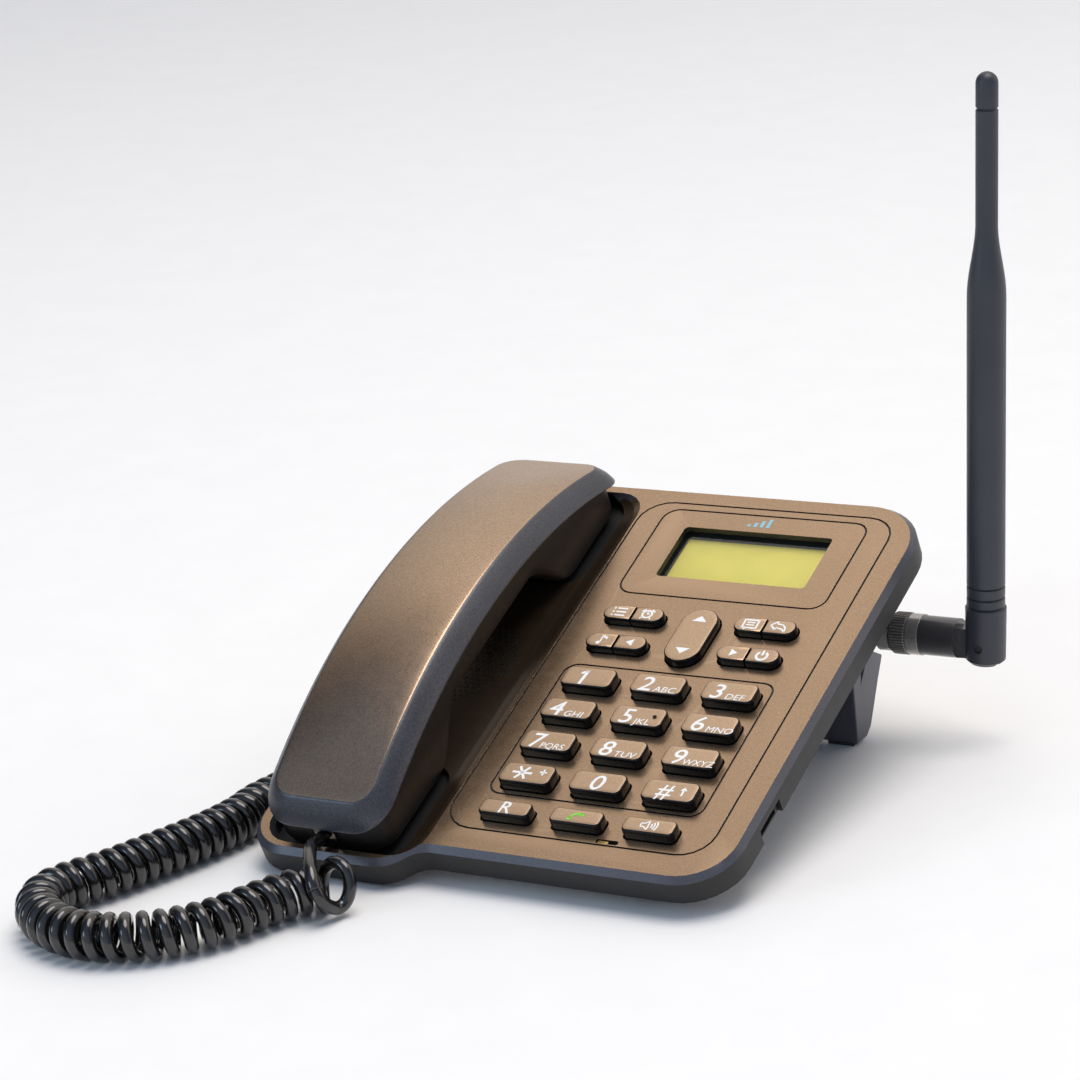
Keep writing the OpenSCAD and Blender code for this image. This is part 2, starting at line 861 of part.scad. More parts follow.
module handset_jack() {
    color(BLACK)
        face()
            translate([cradle_u, near_cup[0] + 0.4, 0])
                difference() {
                    translate([-5, 0, 0])
                        cube([10, 11, 7]);
                    translate([-4, -1, 1])
                        cube([8, 9, 5]);
                }
}

module handset_screws() {
    color(METAL)
        face()
            for (v = hs_screw_v)
                translate([cradle_u, v, cup_h]) {
                    cylinder(h = screw_head, r = screw_head_r, $fn = 32);
                    translate([0, 0, screw_head - EPS])
                        cylinder(h = 9, r = screw_r, $fn = 32);
                }
}

// Cord

// Point at parameter t on the smooth curve through the points p
function spline(p, t) = let (i = min(floor(t), len(p) - 2), s = t - i,
    a = p[max(i - 1, 0)], b = p[i], c = p[i + 1], d = p[min(i + 2, len(p) - 1)])
    0.5 * (2 * b + (c - a) * s + (2 * a - 5 * b + 4 * c - d) * s * s + (3 * b - 3 * c + d - a) * s * s * s);

function unit(v) = v / norm(v);

function ring_at(c, dir, r, n) = let (side = unit(cross(dir, [0, 0, 1])), up = cross(dir, side))
    [for (i = [0:n - 1]) let (a = 360 * (i + 0.5) / n) c + r * (cos(a) * side + sin(a) * up)];

module tube(p, d, sides, per_span) {
    last = len(p) - 1;
    steps = last * per_span;
    e = 0.05;
    loft([for (k = [0:steps]) let (t = k / per_span, t0 = max(t - e, 0), t1 = min(t + e, last))
        ring_at(spline(p, t), unit(spline(p, t1) - spline(p, t0)), d / 2 / cos(180 / sides), sides)]);
}

module cord_handset_lead() {
    color(BLACK)
        table()
            tube(handset_lead, cord_d, 8, 2);
}

module cord_coil() {
    color(BLACK)
        table()
            tube([for (p = coil_route) [p[0], p[1], coil_d / 2 + 0.1]], coil_d, 8, 2);
}

module cord_base_lead() {
    color(BLACK)
        table()
            tube(base_lead, cord_d, 8, 2);
}

module handset_plug() {
    color(BLACK)
        face()
            translate([cradle_u, near_cup[0], 0])
                translate([-3.8, -1.5, 1.2])
                    cube([7.6, 9, 4.6]);
}

module base_plug() {
    color(BLACK)
        face()
            translate([-half_w - 5, jack_v - 3.7, -wall_h + 1.4])
                cube([7.5, 7.4, 4.6]);
}

base_top_shell();
base_bottom_shell();
rear_stand();
rubber_feet();
display_lens();
display_module();
main_board();
keypad_membrane();
loudspeaker();
base_microphone();
sim_holder();
hook_switch();
hook_plunger();
battery_pack();
battery_cover();
antenna_jack();
power_jack();
side_port();
base_cord_jack();
housing_screws();
for (i = [0:11])
    digit_key(i);
for (i = [0:2])
    function_key(i);
for (i = [0:7])
    soft_key(i);
nav_rocker();
antenna_nut();
antenna_sleeve();
antenna_pin();
antenna_mast();
handset_top_shell();
handset_bottom_shell();
handset_receiver();
handset_microphone();
handset_jack();
handset_screws();
cord_handset_lead();
cord_coil();
cord_base_lead();
handset_plug();
base_plug();
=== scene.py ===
"""Corded cellular desk phone: the visual model, in the frame of its CAD parts.
"""

import json
import math

import bmesh
import bpy
from mathutils import Matrix, Vector


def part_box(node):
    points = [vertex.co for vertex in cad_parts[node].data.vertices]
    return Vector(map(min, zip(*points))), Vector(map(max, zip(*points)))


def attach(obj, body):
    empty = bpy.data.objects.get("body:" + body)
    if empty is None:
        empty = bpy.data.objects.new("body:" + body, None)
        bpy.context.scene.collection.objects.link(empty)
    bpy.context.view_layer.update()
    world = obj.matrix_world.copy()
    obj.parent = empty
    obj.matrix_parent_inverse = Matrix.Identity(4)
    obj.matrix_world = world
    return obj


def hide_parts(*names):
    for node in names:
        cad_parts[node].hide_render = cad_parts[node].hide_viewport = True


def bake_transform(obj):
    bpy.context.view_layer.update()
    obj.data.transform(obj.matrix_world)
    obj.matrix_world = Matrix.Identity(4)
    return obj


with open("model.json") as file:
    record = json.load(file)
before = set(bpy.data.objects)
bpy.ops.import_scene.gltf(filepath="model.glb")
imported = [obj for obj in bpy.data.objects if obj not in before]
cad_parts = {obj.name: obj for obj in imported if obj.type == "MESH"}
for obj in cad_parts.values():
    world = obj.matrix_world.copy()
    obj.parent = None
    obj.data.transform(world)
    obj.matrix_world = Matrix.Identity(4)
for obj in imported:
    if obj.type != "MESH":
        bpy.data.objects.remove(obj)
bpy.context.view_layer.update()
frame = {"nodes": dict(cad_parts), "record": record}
MM = 0.001
NODES = frame["nodes"]
BEHAVIOUR = frame["record"]["behaviour"]
JOINTS = {joint["name"]: joint for joint in BEHAVIOUR["joints"]}
BODY_OF = {node: body for body, nodes in BEHAVIOUR["bodies"].items() for node in nodes}

# ---------------------------------------------------------------- frames
# Face axes: u to the right, v up the slope, h out of the face. Table axes: those of the stage, about
# the middle of the case. Both are worked out from the CAD's top shell and the keys' direction of travel.
# The flat of the face runs up the slope from PLATE_FRONT to PLATE_REAR, with a chamfer round it, and the
# case's walls reach WALL_H below it.
PLATE_FRONT, PLATE_REAR, WALL_H, CHAMFER = -88.5, 100.0, 9.7, 2.0
press = Vector(JOINTS["key_1_press"]["axis"])
TILT = math.atan2(press.y, -press.z)
case_low, case_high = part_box("base_top_shell")
SHIFT = Vector((
    (case_low[0] + case_high[0]) / 2,
    case_high[1] - ((PLATE_REAR + CHAMFER) * math.cos(TILT) + WALL_H * math.sin(TILT)) * MM,
    0,
))
PLATE_Z = case_low[2] + ((CHAMFER - PLATE_FRONT) * math.sin(TILT) + WALL_H * math.cos(TILT)) * MM
TABLE = Matrix.Translation(SHIFT)
FACE = Matrix.Translation(SHIFT + Vector((0, 0, PLATE_Z))) @ Matrix.Rotation(TILT, 4, "X")
OUT = (FACE.to_3x3() @ Vector((0, 0, 1))).normalized()


def on_face(u, v, h):
    return FACE @ (Vector((u, v, h)) * MM)


def on_table(x, y, z):
    return TABLE @ (Vector((x, y, z)) * MM)


def link_object(name, data):
    thing = bpy.data.objects.new(name, data)
    bpy.context.scene.collection.objects.link(thing)
    return thing


# ---------------------------------------------------------------- camera
AZIMUTH, ELEVATION, ROLL = math.radians(31.82), math.radians(18.11), math.radians(6.01)
CAMERA_DISTANCE = 1150
AIM = (24.9, -58.5, 114.6)
LENS_LENGTH, SENSOR_WIDTH, CLIP_NEAR, CLIP_FAR = 125.03, 36, 0.05, 50


def make_camera():
    forward = Vector((
        -math.sin(AZIMUTH) * math.cos(ELEVATION),
        math.cos(AZIMUTH) * math.cos(ELEVATION),
        -math.sin(ELEVATION),
    ))
    level = Vector((math.cos(AZIMUTH), math.sin(AZIMUTH), 0))
    down = forward.cross(level)
    right = math.cos(ROLL) * level + math.sin(ROLL) * down
    up = math.sin(ROLL) * level - math.cos(ROLL) * down
    data = bpy.data.cameras.new("camera")
    data.lens = LENS_LENGTH
    data.sensor_width = SENSOR_WIDTH
    data.clip_start = CLIP_NEAR
    data.clip_end = CLIP_FAR
    camera = link_object("camera", data)
    place = on_table(*AIM) - forward * CAMERA_DISTANCE * MM
    camera.matrix_world = Matrix.Translation(place) @ Matrix((right, up, -forward)).transposed().to_4x4()
    bpy.context.scene.camera = camera


make_camera()


# ---------------------------------------------------------------- materials
# Noise scales are in features per metre; a material's grain is one of them.
BROAD_SCALE, UNEVEN_SCALE, SMEAR_SCALE, TINT_SCALE = 35, 180, 120, 60
ROUGH_SPREAD = 0.06
COAT_ROUGHNESS = 0.12
GRAIN_DEPTH = 0.05
WORN_FROM, WORN_TO = 0.52, 0.62
FLAKE_FROM, FLAKE_TO = 0.35, 0.65
LENS_TINT = ((0.93, 0.95, 0.9), (0.97, 0.98, 0.95))
LENS_ROUGHNESS, LENS_SHEEN = (0.03, 0.09), (0.02, 0.2)


def new_material(name):
    material = bpy.data.materials.new(name)
    material.use_nodes = True
    return material, material.node_tree.nodes, material.node_tree.links


def noise_socket(nodes, links, scale, detail=3.0, roughness=0.6):
    """Noise over object coordinates."""
    coords = nodes.new("ShaderNodeTexCoord")
    noise = nodes.new("ShaderNodeTexNoise")
    noise.inputs["Scale"].default_value = scale
    noise.inputs["Detail"].default_value = detail
    noise.inputs["Roughness"].default_value = roughness
    links.new(coords.outputs["Object"], noise.inputs["Vector"])
    return noise.outputs["Fac"]


def ramp_socket(nodes, links, source, low, high, start=0.3, end=0.7):
    """Colour ramp from low to high as the source goes from start to end."""
    ramp = nodes.new("ShaderNodeValToRGB")
    ramp.color_ramp.elements[0].position = start
    ramp.color_ramp.elements[1].position = end
    ramp.color_ramp.elements[0].color = (*low, 1)
    ramp.color_ramp.elements[1].color = (*high, 1)
    links.new(source, ramp.inputs["Fac"])
    return ramp.outputs["Color"]


def range_socket(nodes, links, source, low, high, start=0.0, end=1.0):
    """Value that goes from low to high as the source goes from start to end."""
    scale = nodes.new("ShaderNodeMapRange")
    scale.inputs["From Min"].default_value = start
    scale.inputs["From Max"].default_value = end
    scale.inputs["To Min"].default_value = low
    scale.inputs["To Max"].default_value = high
    links.new(source, scale.inputs["Value"])
    return scale.outputs["Result"]


def mix_socket(nodes, links, factor, below, above, blend="MIX"):
    """Mix of two colours, each a socket or a plain colour."""
    mix = nodes.new("ShaderNodeMix")
    mix.data_type = "RGBA"
    mix.blend_type = blend
    for key, value in (("Factor", factor), ("A", below), ("B", above)):
        if isinstance(value, bpy.types.NodeSocket):
            links.new(value, mix.inputs[key])
        else:
            mix.inputs[key].default_value = value
    return mix.outputs["Result"]


def scaled(color, k):
    return tuple(min(1.0, c * k) for c in color)


def plastic(name, color, roughness, grain=2500, bump=0.15, vary=0.12, metallic=0.0, coat=0.0, wear=0.0,
            speckle=0.0, specular=0.5):
    """Moulded or painted surface: broad and fine colour variation, uneven gloss, fine grain, worn edges.

    vary is the broad change of colour, speckle the fine one, and wear how much paler the edges are.
    """
    material, nodes, links = new_material(name)
    shader = nodes["Principled BSDF"]
    shader.inputs["Metallic"].default_value = metallic
    shader.inputs["Specular IOR Level"].default_value = specular
    shader.inputs["Coat Weight"].default_value = coat
    shader.inputs["Coat Roughness"].default_value = COAT_ROUGHNESS
    broad = noise_socket(nodes, links, BROAD_SCALE, detail=2)
    fine = noise_socket(nodes, links, grain, detail=2, roughness=0.7)
    shade = ramp_socket(nodes, links, broad, scaled(color, 1 - vary), scaled(color, 1 + vary))
    if speckle:
        flakes = ramp_socket(nodes, links, fine, (1 - speckle,) * 3, (1 + speckle,) * 3, FLAKE_FROM, FLAKE_TO)
        shade = mix_socket(nodes, links, 1, shade, flakes, "MULTIPLY")
    if wear:
        edges = nodes.new("ShaderNodeNewGeometry").outputs["Pointiness"]
        worn = ramp_socket(nodes, links, edges, (0, 0, 0), (1, 1, 1), WORN_FROM, WORN_TO)
        shade = mix_socket(nodes, links, worn, shade, (*scaled(color, 1 + wear), 1))
    links.new(shade, shader.inputs["Base Color"])
    gloss = noise_socket(nodes, links, UNEVEN_SCALE, detail=4)
    uneven = range_socket(nodes, links, gloss, roughness - ROUGH_SPREAD, roughness + ROUGH_SPREAD)
    links.new(uneven, shader.inputs["Roughness"])
    relief = nodes.new("ShaderNodeBump")
    relief.inputs["Strength"].default_value = bump
    relief.inputs["Distance"].default_value = GRAIN_DEPTH * MM
    links.new(fine, relief.inputs["Height"])
    links.new(relief.outputs["Normal"], shader.inputs["Normal"])
    return material


def clear_lens():
    """Thin clear window: see-through, with a sheen that grows at a slant."""
    material, nodes, links = new_material("clear_lens")
    nodes.remove(nodes["Principled BSDF"])
    through = nodes.new("ShaderNodeBsdfTransparent")
    patches = noise_socket(nodes, links, TINT_SCALE)
    links.new(ramp_socket(nodes, links, patches, *LENS_TINT), through.inputs["Color"])
    gloss = nodes.new("ShaderNodeBsdfGlossy")
    smears = noise_socket(nodes, links, SMEAR_SCALE, detail=4)
    links.new(range_socket(nodes, links, smears, *LENS_ROUGHNESS), gloss.inputs["Roughness"])
    slant = nodes.new("ShaderNodeLayerWeight").outputs["Facing"]
    sheen = range_socket(nodes, links, slant, *LENS_SHEEN, start=0.2)
    mix = nodes.new("ShaderNodeMixShader")
    links.new(sheen, mix.inputs["Fac"])
    links.new(through.outputs["BSDF"], mix.inputs[1])
    links.new(gloss.outputs["BSDF"], mix.inputs[2])
    links.new(mix.outputs["Shader"], nodes["Material Output"].inputs["Surface"])
    return material


PAINT = plastic("bronze_paint", (0.40, 0.27, 0.172), 0.27, grain=1700, bump=0.03, vary=0.03, metallic=0.94,
                wear=0.2, speckle=0.14)
# Darker copy of the bronze paint: painted shade for the handset's trough, under the handset.
TROUGH_PAINT_SHADE = plastic("bronze_paint_trough_shade", (0.13, 0.088, 0.057), 0.36, grain=1700, bump=0.03, vary=0.03,
                       metallic=0.9, wear=0.2, speckle=0.1)
KEY_TOP = plastic("key_bronze", (0.52, 0.36, 0.235), 0.34, grain=1700, bump=0.03, vary=0.03, metallic=0.85,
                  wear=0.15, speckle=0.1)
KEY_SIDE = plastic("key_side", (0.004, 0.004, 0.005), 0.24, grain=1500, bump=0.05, specular=0.2)
WALL = plastic("charcoal", (0.07, 0.07, 0.085), 0.32, grain=1700, bump=0.06, metallic=0.2, wear=0.5,
               speckle=0.15)
LIP = plastic("charcoal_tray", (0.1, 0.1, 0.105), 0.5, grain=2600, bump=0.3, wear=0.3)
# Near-black: painted shade in the case's wells, openings and speaker holes, and the dark lines of the
# grooves.
SHADE_AND_GROOVES = plastic("painted_shade_and_grooves", (0.008, 0.007, 0.007), 0.5, grain=2000, bump=0.2)
HANDSET_PAINT = plastic("handset_paint", (0.38, 0.262, 0.175), 0.28, grain=1700, bump=0.03, vary=0.03,
                        metallic=0.92, wear=0.2, speckle=0.2, coat=0.2)
HANDSET_BAND = plastic("handset_band", (0.055, 0.055, 0.065), 0.34, grain=1700, bump=0.05, metallic=0.3,
                       wear=0.5, speckle=0.3)
HANDSET_BLACK = plastic("handset_black", (0.008, 0.007, 0.007), 0.48, grain=2600, bump=0.12, wear=0.5,
                        specular=0.3)
CORD = plastic("cord_sheath", (0.008, 0.007, 0.007), 0.2, grain=900, bump=0.05, coat=0.6)
RUBBER = plastic("rubber", (0.03, 0.03, 0.03), 0.8, grain=1800, bump=0.5)
MAST = plastic("mast_black", (0.032, 0.034, 0.045), 0.42, grain=2200, bump=0.25, wear=0.4)
SLEEVE = plastic("sleeve_black", (0.03, 0.029, 0.032), 0.3, grain=1500, bump=0.06, coat=0.5, wear=0.4)
RING = plastic("silver_ring", (0.42, 0.40, 0.38), 0.25, grain=700, bump=0.1, metallic=0.75)
COLLAR = plastic("collar_metal", (0.5, 0.49, 0.47), 0.35, grain=700, bump=0.1, metallic=0.8)
KNURL = plastic("knurl_black", (0.13, 0.12, 0.115), 0.36, grain=900, bump=0.1, metallic=0.7, wear=2.0)
STEEL = plastic("screw_steel", (0.6, 0.6, 0.6), 0.3, grain=700, bump=0.1, metallic=1.0)
# Black of the inner parts, also used for the discs of painted shade in the handset's holes.
BLACK_AND_HOLE_SHADE = plastic("inner_black", (0.02, 0.02, 0.02), 0.5)
BOARD = plastic("board_green", (0.03, 0.16, 0.07), 0.45, grain=800)
SILICONE = plastic("silicone_grey", (0.35, 0.35, 0.36), 0.7, grain=1200)
FILM = plastic("battery_film", (0.05, 0.12, 0.3), 0.35, grain=1200)
SCREEN = plastic("screen_green", (0.9, 0.72, 0.1), 0.5, grain=600, bump=0.02, vary=0.05)
WHITE = plastic("legend_white", (0.93, 0.91, 0.87), 0.5, grain=2500, bump=0.05, vary=0.02)
GREEN = plastic("legend_green", (0.22, 0.7, 0.06), 0.5, grain=2500, bump=0.05, vary=0.04)
PALE_BLUE = plastic("mark_blue", (0.3, 0.55, 0.6), 0.5, grain=2500, bump=0.05, vary=0.04)
GOLD = plastic("contact_gold", (0.8, 0.55, 0.2), 0.3, grain=900, bump=0.1, metallic=1.0)
LENS = clear_lens()


# ---------------------------------------------------------------- mesh helpers
WELD, FLAT_ANGLE = 0.002, 0.5


def mesh_object(name, bm, materials, sharp=35):
    """Object made from a bmesh, shaded smooth but for edges of sharp degrees and more."""
    bmesh.ops.recalc_face_normals(bm, faces=bm.faces)
    limit = math.radians(sharp)
    for face in bm.faces:
        face.smooth = True
    for edge in bm.edges:
        edge.smooth = len(edge.link_faces) != 2 or edge.calc_face_angle(0) < limit
    mesh = bpy.data.meshes.new(name)
    bm.to_mesh(mesh)
    bm.free()
    for material in materials:
        mesh.materials.append(material)
    return link_object(name, mesh)


def finish_piece(name, bm, materials, body, replaces=(), bevel=0.0, sharp=35):
    """Turns a bmesh into a piece that rides on a body, with its sharp edges bevelled if bevel isn't 0."""
    piece = mesh_object(name, bm, materials, sharp)
    if bevel:
        edges = piece.modifiers.new("edges", "BEVEL")
        edges.width = bevel * MM
        edges.segments = 2
        edges.limit_method = "ANGLE"
        edges.angle_limit = math.radians(sharp)
        edges.harden_normals = True
        edges.use_clamp_overlap = True
    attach(piece, body)
    if replaces:
        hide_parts(*replaces)
    return piece


def join_rows(bm, rows):
    """Faces between each closed row of vertices and the next."""
    count = len(rows[0])
    for low, high in zip(rows, rows[1:]):
        for i in range(count):
            j = (i + 1) % count
            bm.faces.new((low[i], low[j], high[j], high[i]))


def add_rings(bm, rings, close_high=True):
    """Skin over rings of equal point count, closed at the first; returns the rings' vertices."""
    rows = [[bm.verts.new(point) for point in ring] for ring in rings]
    join_rows(bm, rows)
    bm.faces.new(rows[0][::-1])
    if close_high:
        bm.faces.new(rows[-1])
    return rows


def arc(cx, cy, r, a0, a1, steps):
    """Points on a circle from a0 to a1 degrees."""
    return [
        (cx + r * math.cos(math.radians(a0 + (a1 - a0) * i / steps)),
         cy + r * math.sin(math.radians(a0 + (a1 - a0) * i / steps)))
        for i in range(steps + 1)
    ]


def add_disc(bm, u, v, h, r, sides):
    """Flat disc on the face."""
    rim = arc(u, v, r, 0, 360 - 360 / sides, sides - 1)
    bm.faces.new([bm.verts.new(on_face(x, y, h)) for x, y in rim])


def rounded(w, l, r, steps=8):
    """Rounded rectangle about the origin."""
    x, y = w / 2 - r, l / 2 - r
    return (arc(x, y, r, 0, 90, steps) + arc(-x, y, r, 90, 180, steps)
            + arc(-x, -y, r, 180, 270, steps) + arc(x, -y, r, 270, 360, steps))


def dress(node, materials, pick=None, bevel=0.25, sharp=35):
    """The CAD node's own shape with eased edges; pick(centre, normal) gives a face's material number."""
    bm = bmesh.new()
    bm.from_mesh(NODES[node].data)
    bmesh.ops.remove_doubles(bm, verts=bm.verts, dist=WELD * MM)
    bmesh.ops.dissolve_limit(bm, angle_limit=math.radians(FLAT_ANGLE), verts=bm.verts, edges=bm.edges)
    for face in bm.faces:
        face.material_index = pick(face.calc_center_median(), face.normal) if pick else 0
    return finish_piece(node + "_shape", bm, materials, BODY_OF[node], (node,), bevel, sharp)


# ---------------------------------------------------------------- cord
# The routes are lists of points chosen along the cord in the photo, in the table's axes.
WIRE_D, COIL_D = 4.4, 16.0
HANDSET_LEAD = [
    (-54, -80.6, 15.6), (-54.2, -85.4, 15.1), (-52.6, -89.8, 16.4), (-47.6, -98.2, 18.2),
    (-41.3, -107.8, 16.8), (-37.4, -112, 12.2), (-35.4, -110.6, 7.4), (-34.4, -106.4, 4),
    (-33, -102.8, 4.8), (-32, -100.8, 9.4), (-33.8, -99.4, 14.2), (-38.2, -98, 15.6),
    (-43, -96.8, 12.8), (-45, -97, 8.1), (-44.4, -98.6, 4),
]
COIL_ROUTE = [
    (-42, -102), (-47, -107), (-52, -115), (-56, -125), (-60, -134), (-66, -142), (-74, -149), (-84, -154),
    (-95, -156), (-107, -154), (-118, -148), (-125, -139), (-126, -130), (-122, -121), (-117, -112),
    (-112, -99), (-107, -86), (-103, -73), (-101, -61), (-101.2, -51), (-99.5, -41.5), (-96.8, -32),
]
BASE_LEAD = [
    (-102.3, -29.6, 10), (-101, -28.5, 14.2), (-100, -28, 18), (-98, -28.4, 21.6), (-95.2, -29.5, 23.9),
    (-92, -30.3, 24.5), (-89, -30.5, 24.5),
]
PITCH_NEAR, PITCH_FAR = 5.9, 4.75
COIL_CLEARANCE = 0.1
STEPS_PER_TURN, ROUTE_STEPS, COIL_STEPS, LEAD_STEPS = 16, 40, 2, 8
LEAD_SPLIT = 5  # the handset's lead ends at this point; the rest of it belongs to the coil's piece


def spline(points, t):
    """Point at parameter t on the smooth curve through the points."""
    i = min(int(t), len(points) - 2)
    s = t - i
    a, b = Vector(points[max(i - 1, 0)]), Vector(points[i])
    c, d = Vector(points[i + 1]), Vector(points[min(i + 2, len(points) - 1)])
    square, cube = 2 * a - 5 * b + 4 * c - d, 3 * b - 3 * c + d - a
    return 0.5 * (2 * b + (c - a) * s + square * s ** 2 + cube * s ** 3)


def coil_points():
    """The wire's helix round the coil's own centre line, in mm."""
    route = [(x, y, COIL_D / 2 + COIL_CLEARANCE) for x, y in COIL_ROUTE]
    line = [spline(route, k / ROUTE_STEPS) for k in range(ROUTE_STEPS * (len(route) - 1) + 1)]
    run = [0.0]
    for a, b in zip(line, line[1:]):
        run.append(run[-1] + (b - a).length)
    radius = (COIL_D - WIRE_D) / 2
    points, s, turn, k = [], 0.0, 0.0, 0
    while s < run[-1]:
        while run[k + 1] < s:
            k += 1
        ahead = (line[k + 1] - line[k]).normalized()
        side = Vector((0, 0, 1)).cross(ahead)
        centre = line[k].lerp(line[k + 1], (s - run[k]) / (run[k + 1] - run[k]))
        angle = 2 * math.pi * turn
        points.append(centre + radius * (math.sin(angle) * side - math.cos(angle) * Vector((0, 0, 1))))
        turn += 1 / STEPS_PER_TURN
        s += (PITCH_NEAR + (PITCH_FAR - PITCH_NEAR) * s / run[-1]) / STEPS_PER_TURN
    return points


def wire_tube(path, sides=12):
    """Round tube of the wire's diameter along a path in metres."""
    bm = bmesh.new()
    ring_up = Vector((0, 0, 1))
    rings = []
    for k, point in enumerate(path):
        ahead = (path[min(k + 1, len(path) - 1)] - path[max(k - 1, 0)]).normalized()
        side = ahead.cross(ring_up)
        side = side.normalized() if side.length > 1e-4 else Vector((1, 0, 0))
        ring_up = side.cross(ahead).normalized()
        rings.append([
            point + WIRE_D / 2 * MM * (math.cos(2 * math.pi * i / sides) * side
                                       + math.sin(2 * math.pi * i / sides) * ring_up)
            for i in range(sides)
        ])
    add_rings(bm, rings)
    return bm


def make_cords():
    """The wire from the handset's plug to the case's, as a lead on no body and a coil that lies still on the
    base.
    """
    route = [Vector(p) for p in HANDSET_LEAD] + coil_points() + [Vector(p) for p in BASE_LEAD]
    turns = range(len(HANDSET_LEAD), len(route) - len(BASE_LEAD))
    fine = []
    for i in range(len(route) - 1):
        steps = COIL_STEPS if i in turns else LEAD_STEPS
        fine += [on_table(*spline(route, i + k / steps)) for k in range(steps)]
    cut = LEAD_SPLIT * LEAD_STEPS
    lead_path = fine[:cut + 1][::-1]
    coil_path = fine[cut:][::-1]
    coil = finish_piece("curly_cord", wire_tube(coil_path), [CORD], "base",
                        ("cord_coil", "cord_base_lead"), sharp=80)
    lead = mesh_object("handset_lead", wire_tube(lead_path), [CORD], sharp=180)
    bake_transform(lead)
    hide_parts("cord_handset_lead")


make_cords()


# ---------------------------------------------------------------- case
CASE_MATERIALS = [PAINT, WALL, SHADE_AND_GROOVES, TROUGH_PAINT_SHADE]
ON_PAINT, ON_WALL, ON_SHADE_AND_GROOVES, ON_TROUGH_SHADE = range(4)
# Where the handset's trough, the fine grooves, the wells and the openings lie in the face's axes.
TROUGH_U, TROUGH_V, TROUGH_H = (-80.5, -20.7), (-86.5, 97.0), -2.1
GROOVE_H = (-0.7, -0.2)
PAINT_LOW_H, WELL_H, SKIRT_H = -4.5, -4.6, -8
OPENING_U, OPENING_V = (-83, 83), (-78, 98)
# How far a surface's normal leans towards the face's own: 1 is level with the face, 0 upright to it.
FLAT_RISE, PAINT_RISE, FLOOR_RISE, WALL_RISE = 0.98, 0.75, 0.5, 0.2


def within(value, limits):
    return limits[0] < value < limits[1]


def case_material(centre, normal):
    """Material number of a face of the top shell: paint on what faces out of the sloped face, a darker copy
    of the paint as painted shade in the trough, and near-black as painted shade in the wells and openings and
    as the grooves' dark lines.
    """
    local = FACE.inverted() @ centre / MM
    rise = normal.dot(OUT)
    if rise > FLAT_RISE and within(local.z, GROOVE_H):
        return ON_SHADE_AND_GROOVES
    # Faces below the wells' rim are near-black as painted shade, but for the upright faces lowest down, which
    # are charcoal wall.
    if local.z < WELL_H:
        return ON_SHADE_AND_GROOVES if rise > FLOOR_RISE or local.z > SKIRT_H else ON_WALL
    in_trough = within(local.x, TROUGH_U) and within(local.y, TROUGH_V) and local.z < TROUGH_H
    if rise > PAINT_RISE and local.z > PAINT_LOW_H and not in_trough:
        return ON_PAINT
    # The trough's faces take the darker copy of the paint as painted shade.
    if in_trough and rise > WALL_RISE:
        return ON_TROUGH_SHADE
    # Upright walls inside the openings are near-black as painted shade.
    in_opening = within(local.x, OPENING_U) and within(local.y, OPENING_V)
    return ON_SHADE_AND_GROOVES if in_opening and abs(rise) < WALL_RISE else ON_WALL


def make_case():
    dress("base_top_shell", CASE_MATERIALS, case_material, bevel=0.18, sharp=28)
    dress("base_bottom_shell", [LIP], bevel=0.4)
    dress("rear_stand", [WALL], bevel=0.5)
    dress("rubber_feet", [RUBBER], bevel=0.3)
    dress("side_port", [BLACK_AND_HOLE_SHADE], bevel=0.15)
    dress("base_cord_jack", [BLACK_AND_HOLE_SHADE], bevel=0.15)
    dress("battery_cover", [WALL], bevel=0.4)
    dress("power_jack", [BLACK_AND_HOLE_SHADE], bevel=0.1)
    dress("housing_screws", [STEEL], bevel=0.1)
    dress("antenna_jack", [COLLAR], bevel=0.2)


GRILLE = (-53.0, 10.0)
GRILLE_R, GRILLE_PITCH, GRILLE_HOLE_R, GRILLE_H = 21.0, 2.5, 0.68, -3.97


def make_grille_hole_shade():
    """Dark discs that paint the shade in the speaker's fine holes; some of them lie over the CAD shell's
    through holes.
    """
    bm = bmesh.new()
    n = int(GRILLE_R / GRILLE_PITCH) + 2
    for j in range(-n, n + 1):
        for i in range(-n, n + 1):
            u = GRILLE_PITCH * (i + (j % 2) / 2)
            v = GRILLE_PITCH * j * math.sin(math.radians(60))
            if math.hypot(u, v) > GRILLE_R:
                continue
            add_disc(bm, GRILLE[0] + u, GRILLE[1] + v, GRILLE_H, GRILLE_HOLE_R, 12)
    finish_piece("speaker_hole_shade", bm, [SHADE_AND_GROOVES], "base")


# ---------------------------------------------------------------- keys
# W is across the face, L up the slope, R a corner's radius and RISE the height above the face.
KEY_U, PITCH_U, PITCH_V = 2.5, 26.0, 15.6
KEY_W, KEY_L, FUNC_W, FUNC_L, FUNC_V = 19.0, 9.0, 18.4, 6.4, -62.8
SOFT_W, SOFT_L, SOFT_SPLIT, SPLIT_EASE = 22.6, 7.0, 0.6, 0.4
SOFT_U, SOFT_V = (3.4, 52.4), (33.4, 19.2)
ROCKER_W, ROCKER_L, ROCKER = 13.4, 26.2, (28.6, 25.7)
KEY_RISE, SOFT_RISE, KEY_FOOT, KEY_FLANGE, FLANGE_SLOPE, TOP_MARGIN = 3.9, 2.9, -4.2, 0.9, 0.05, 0.01
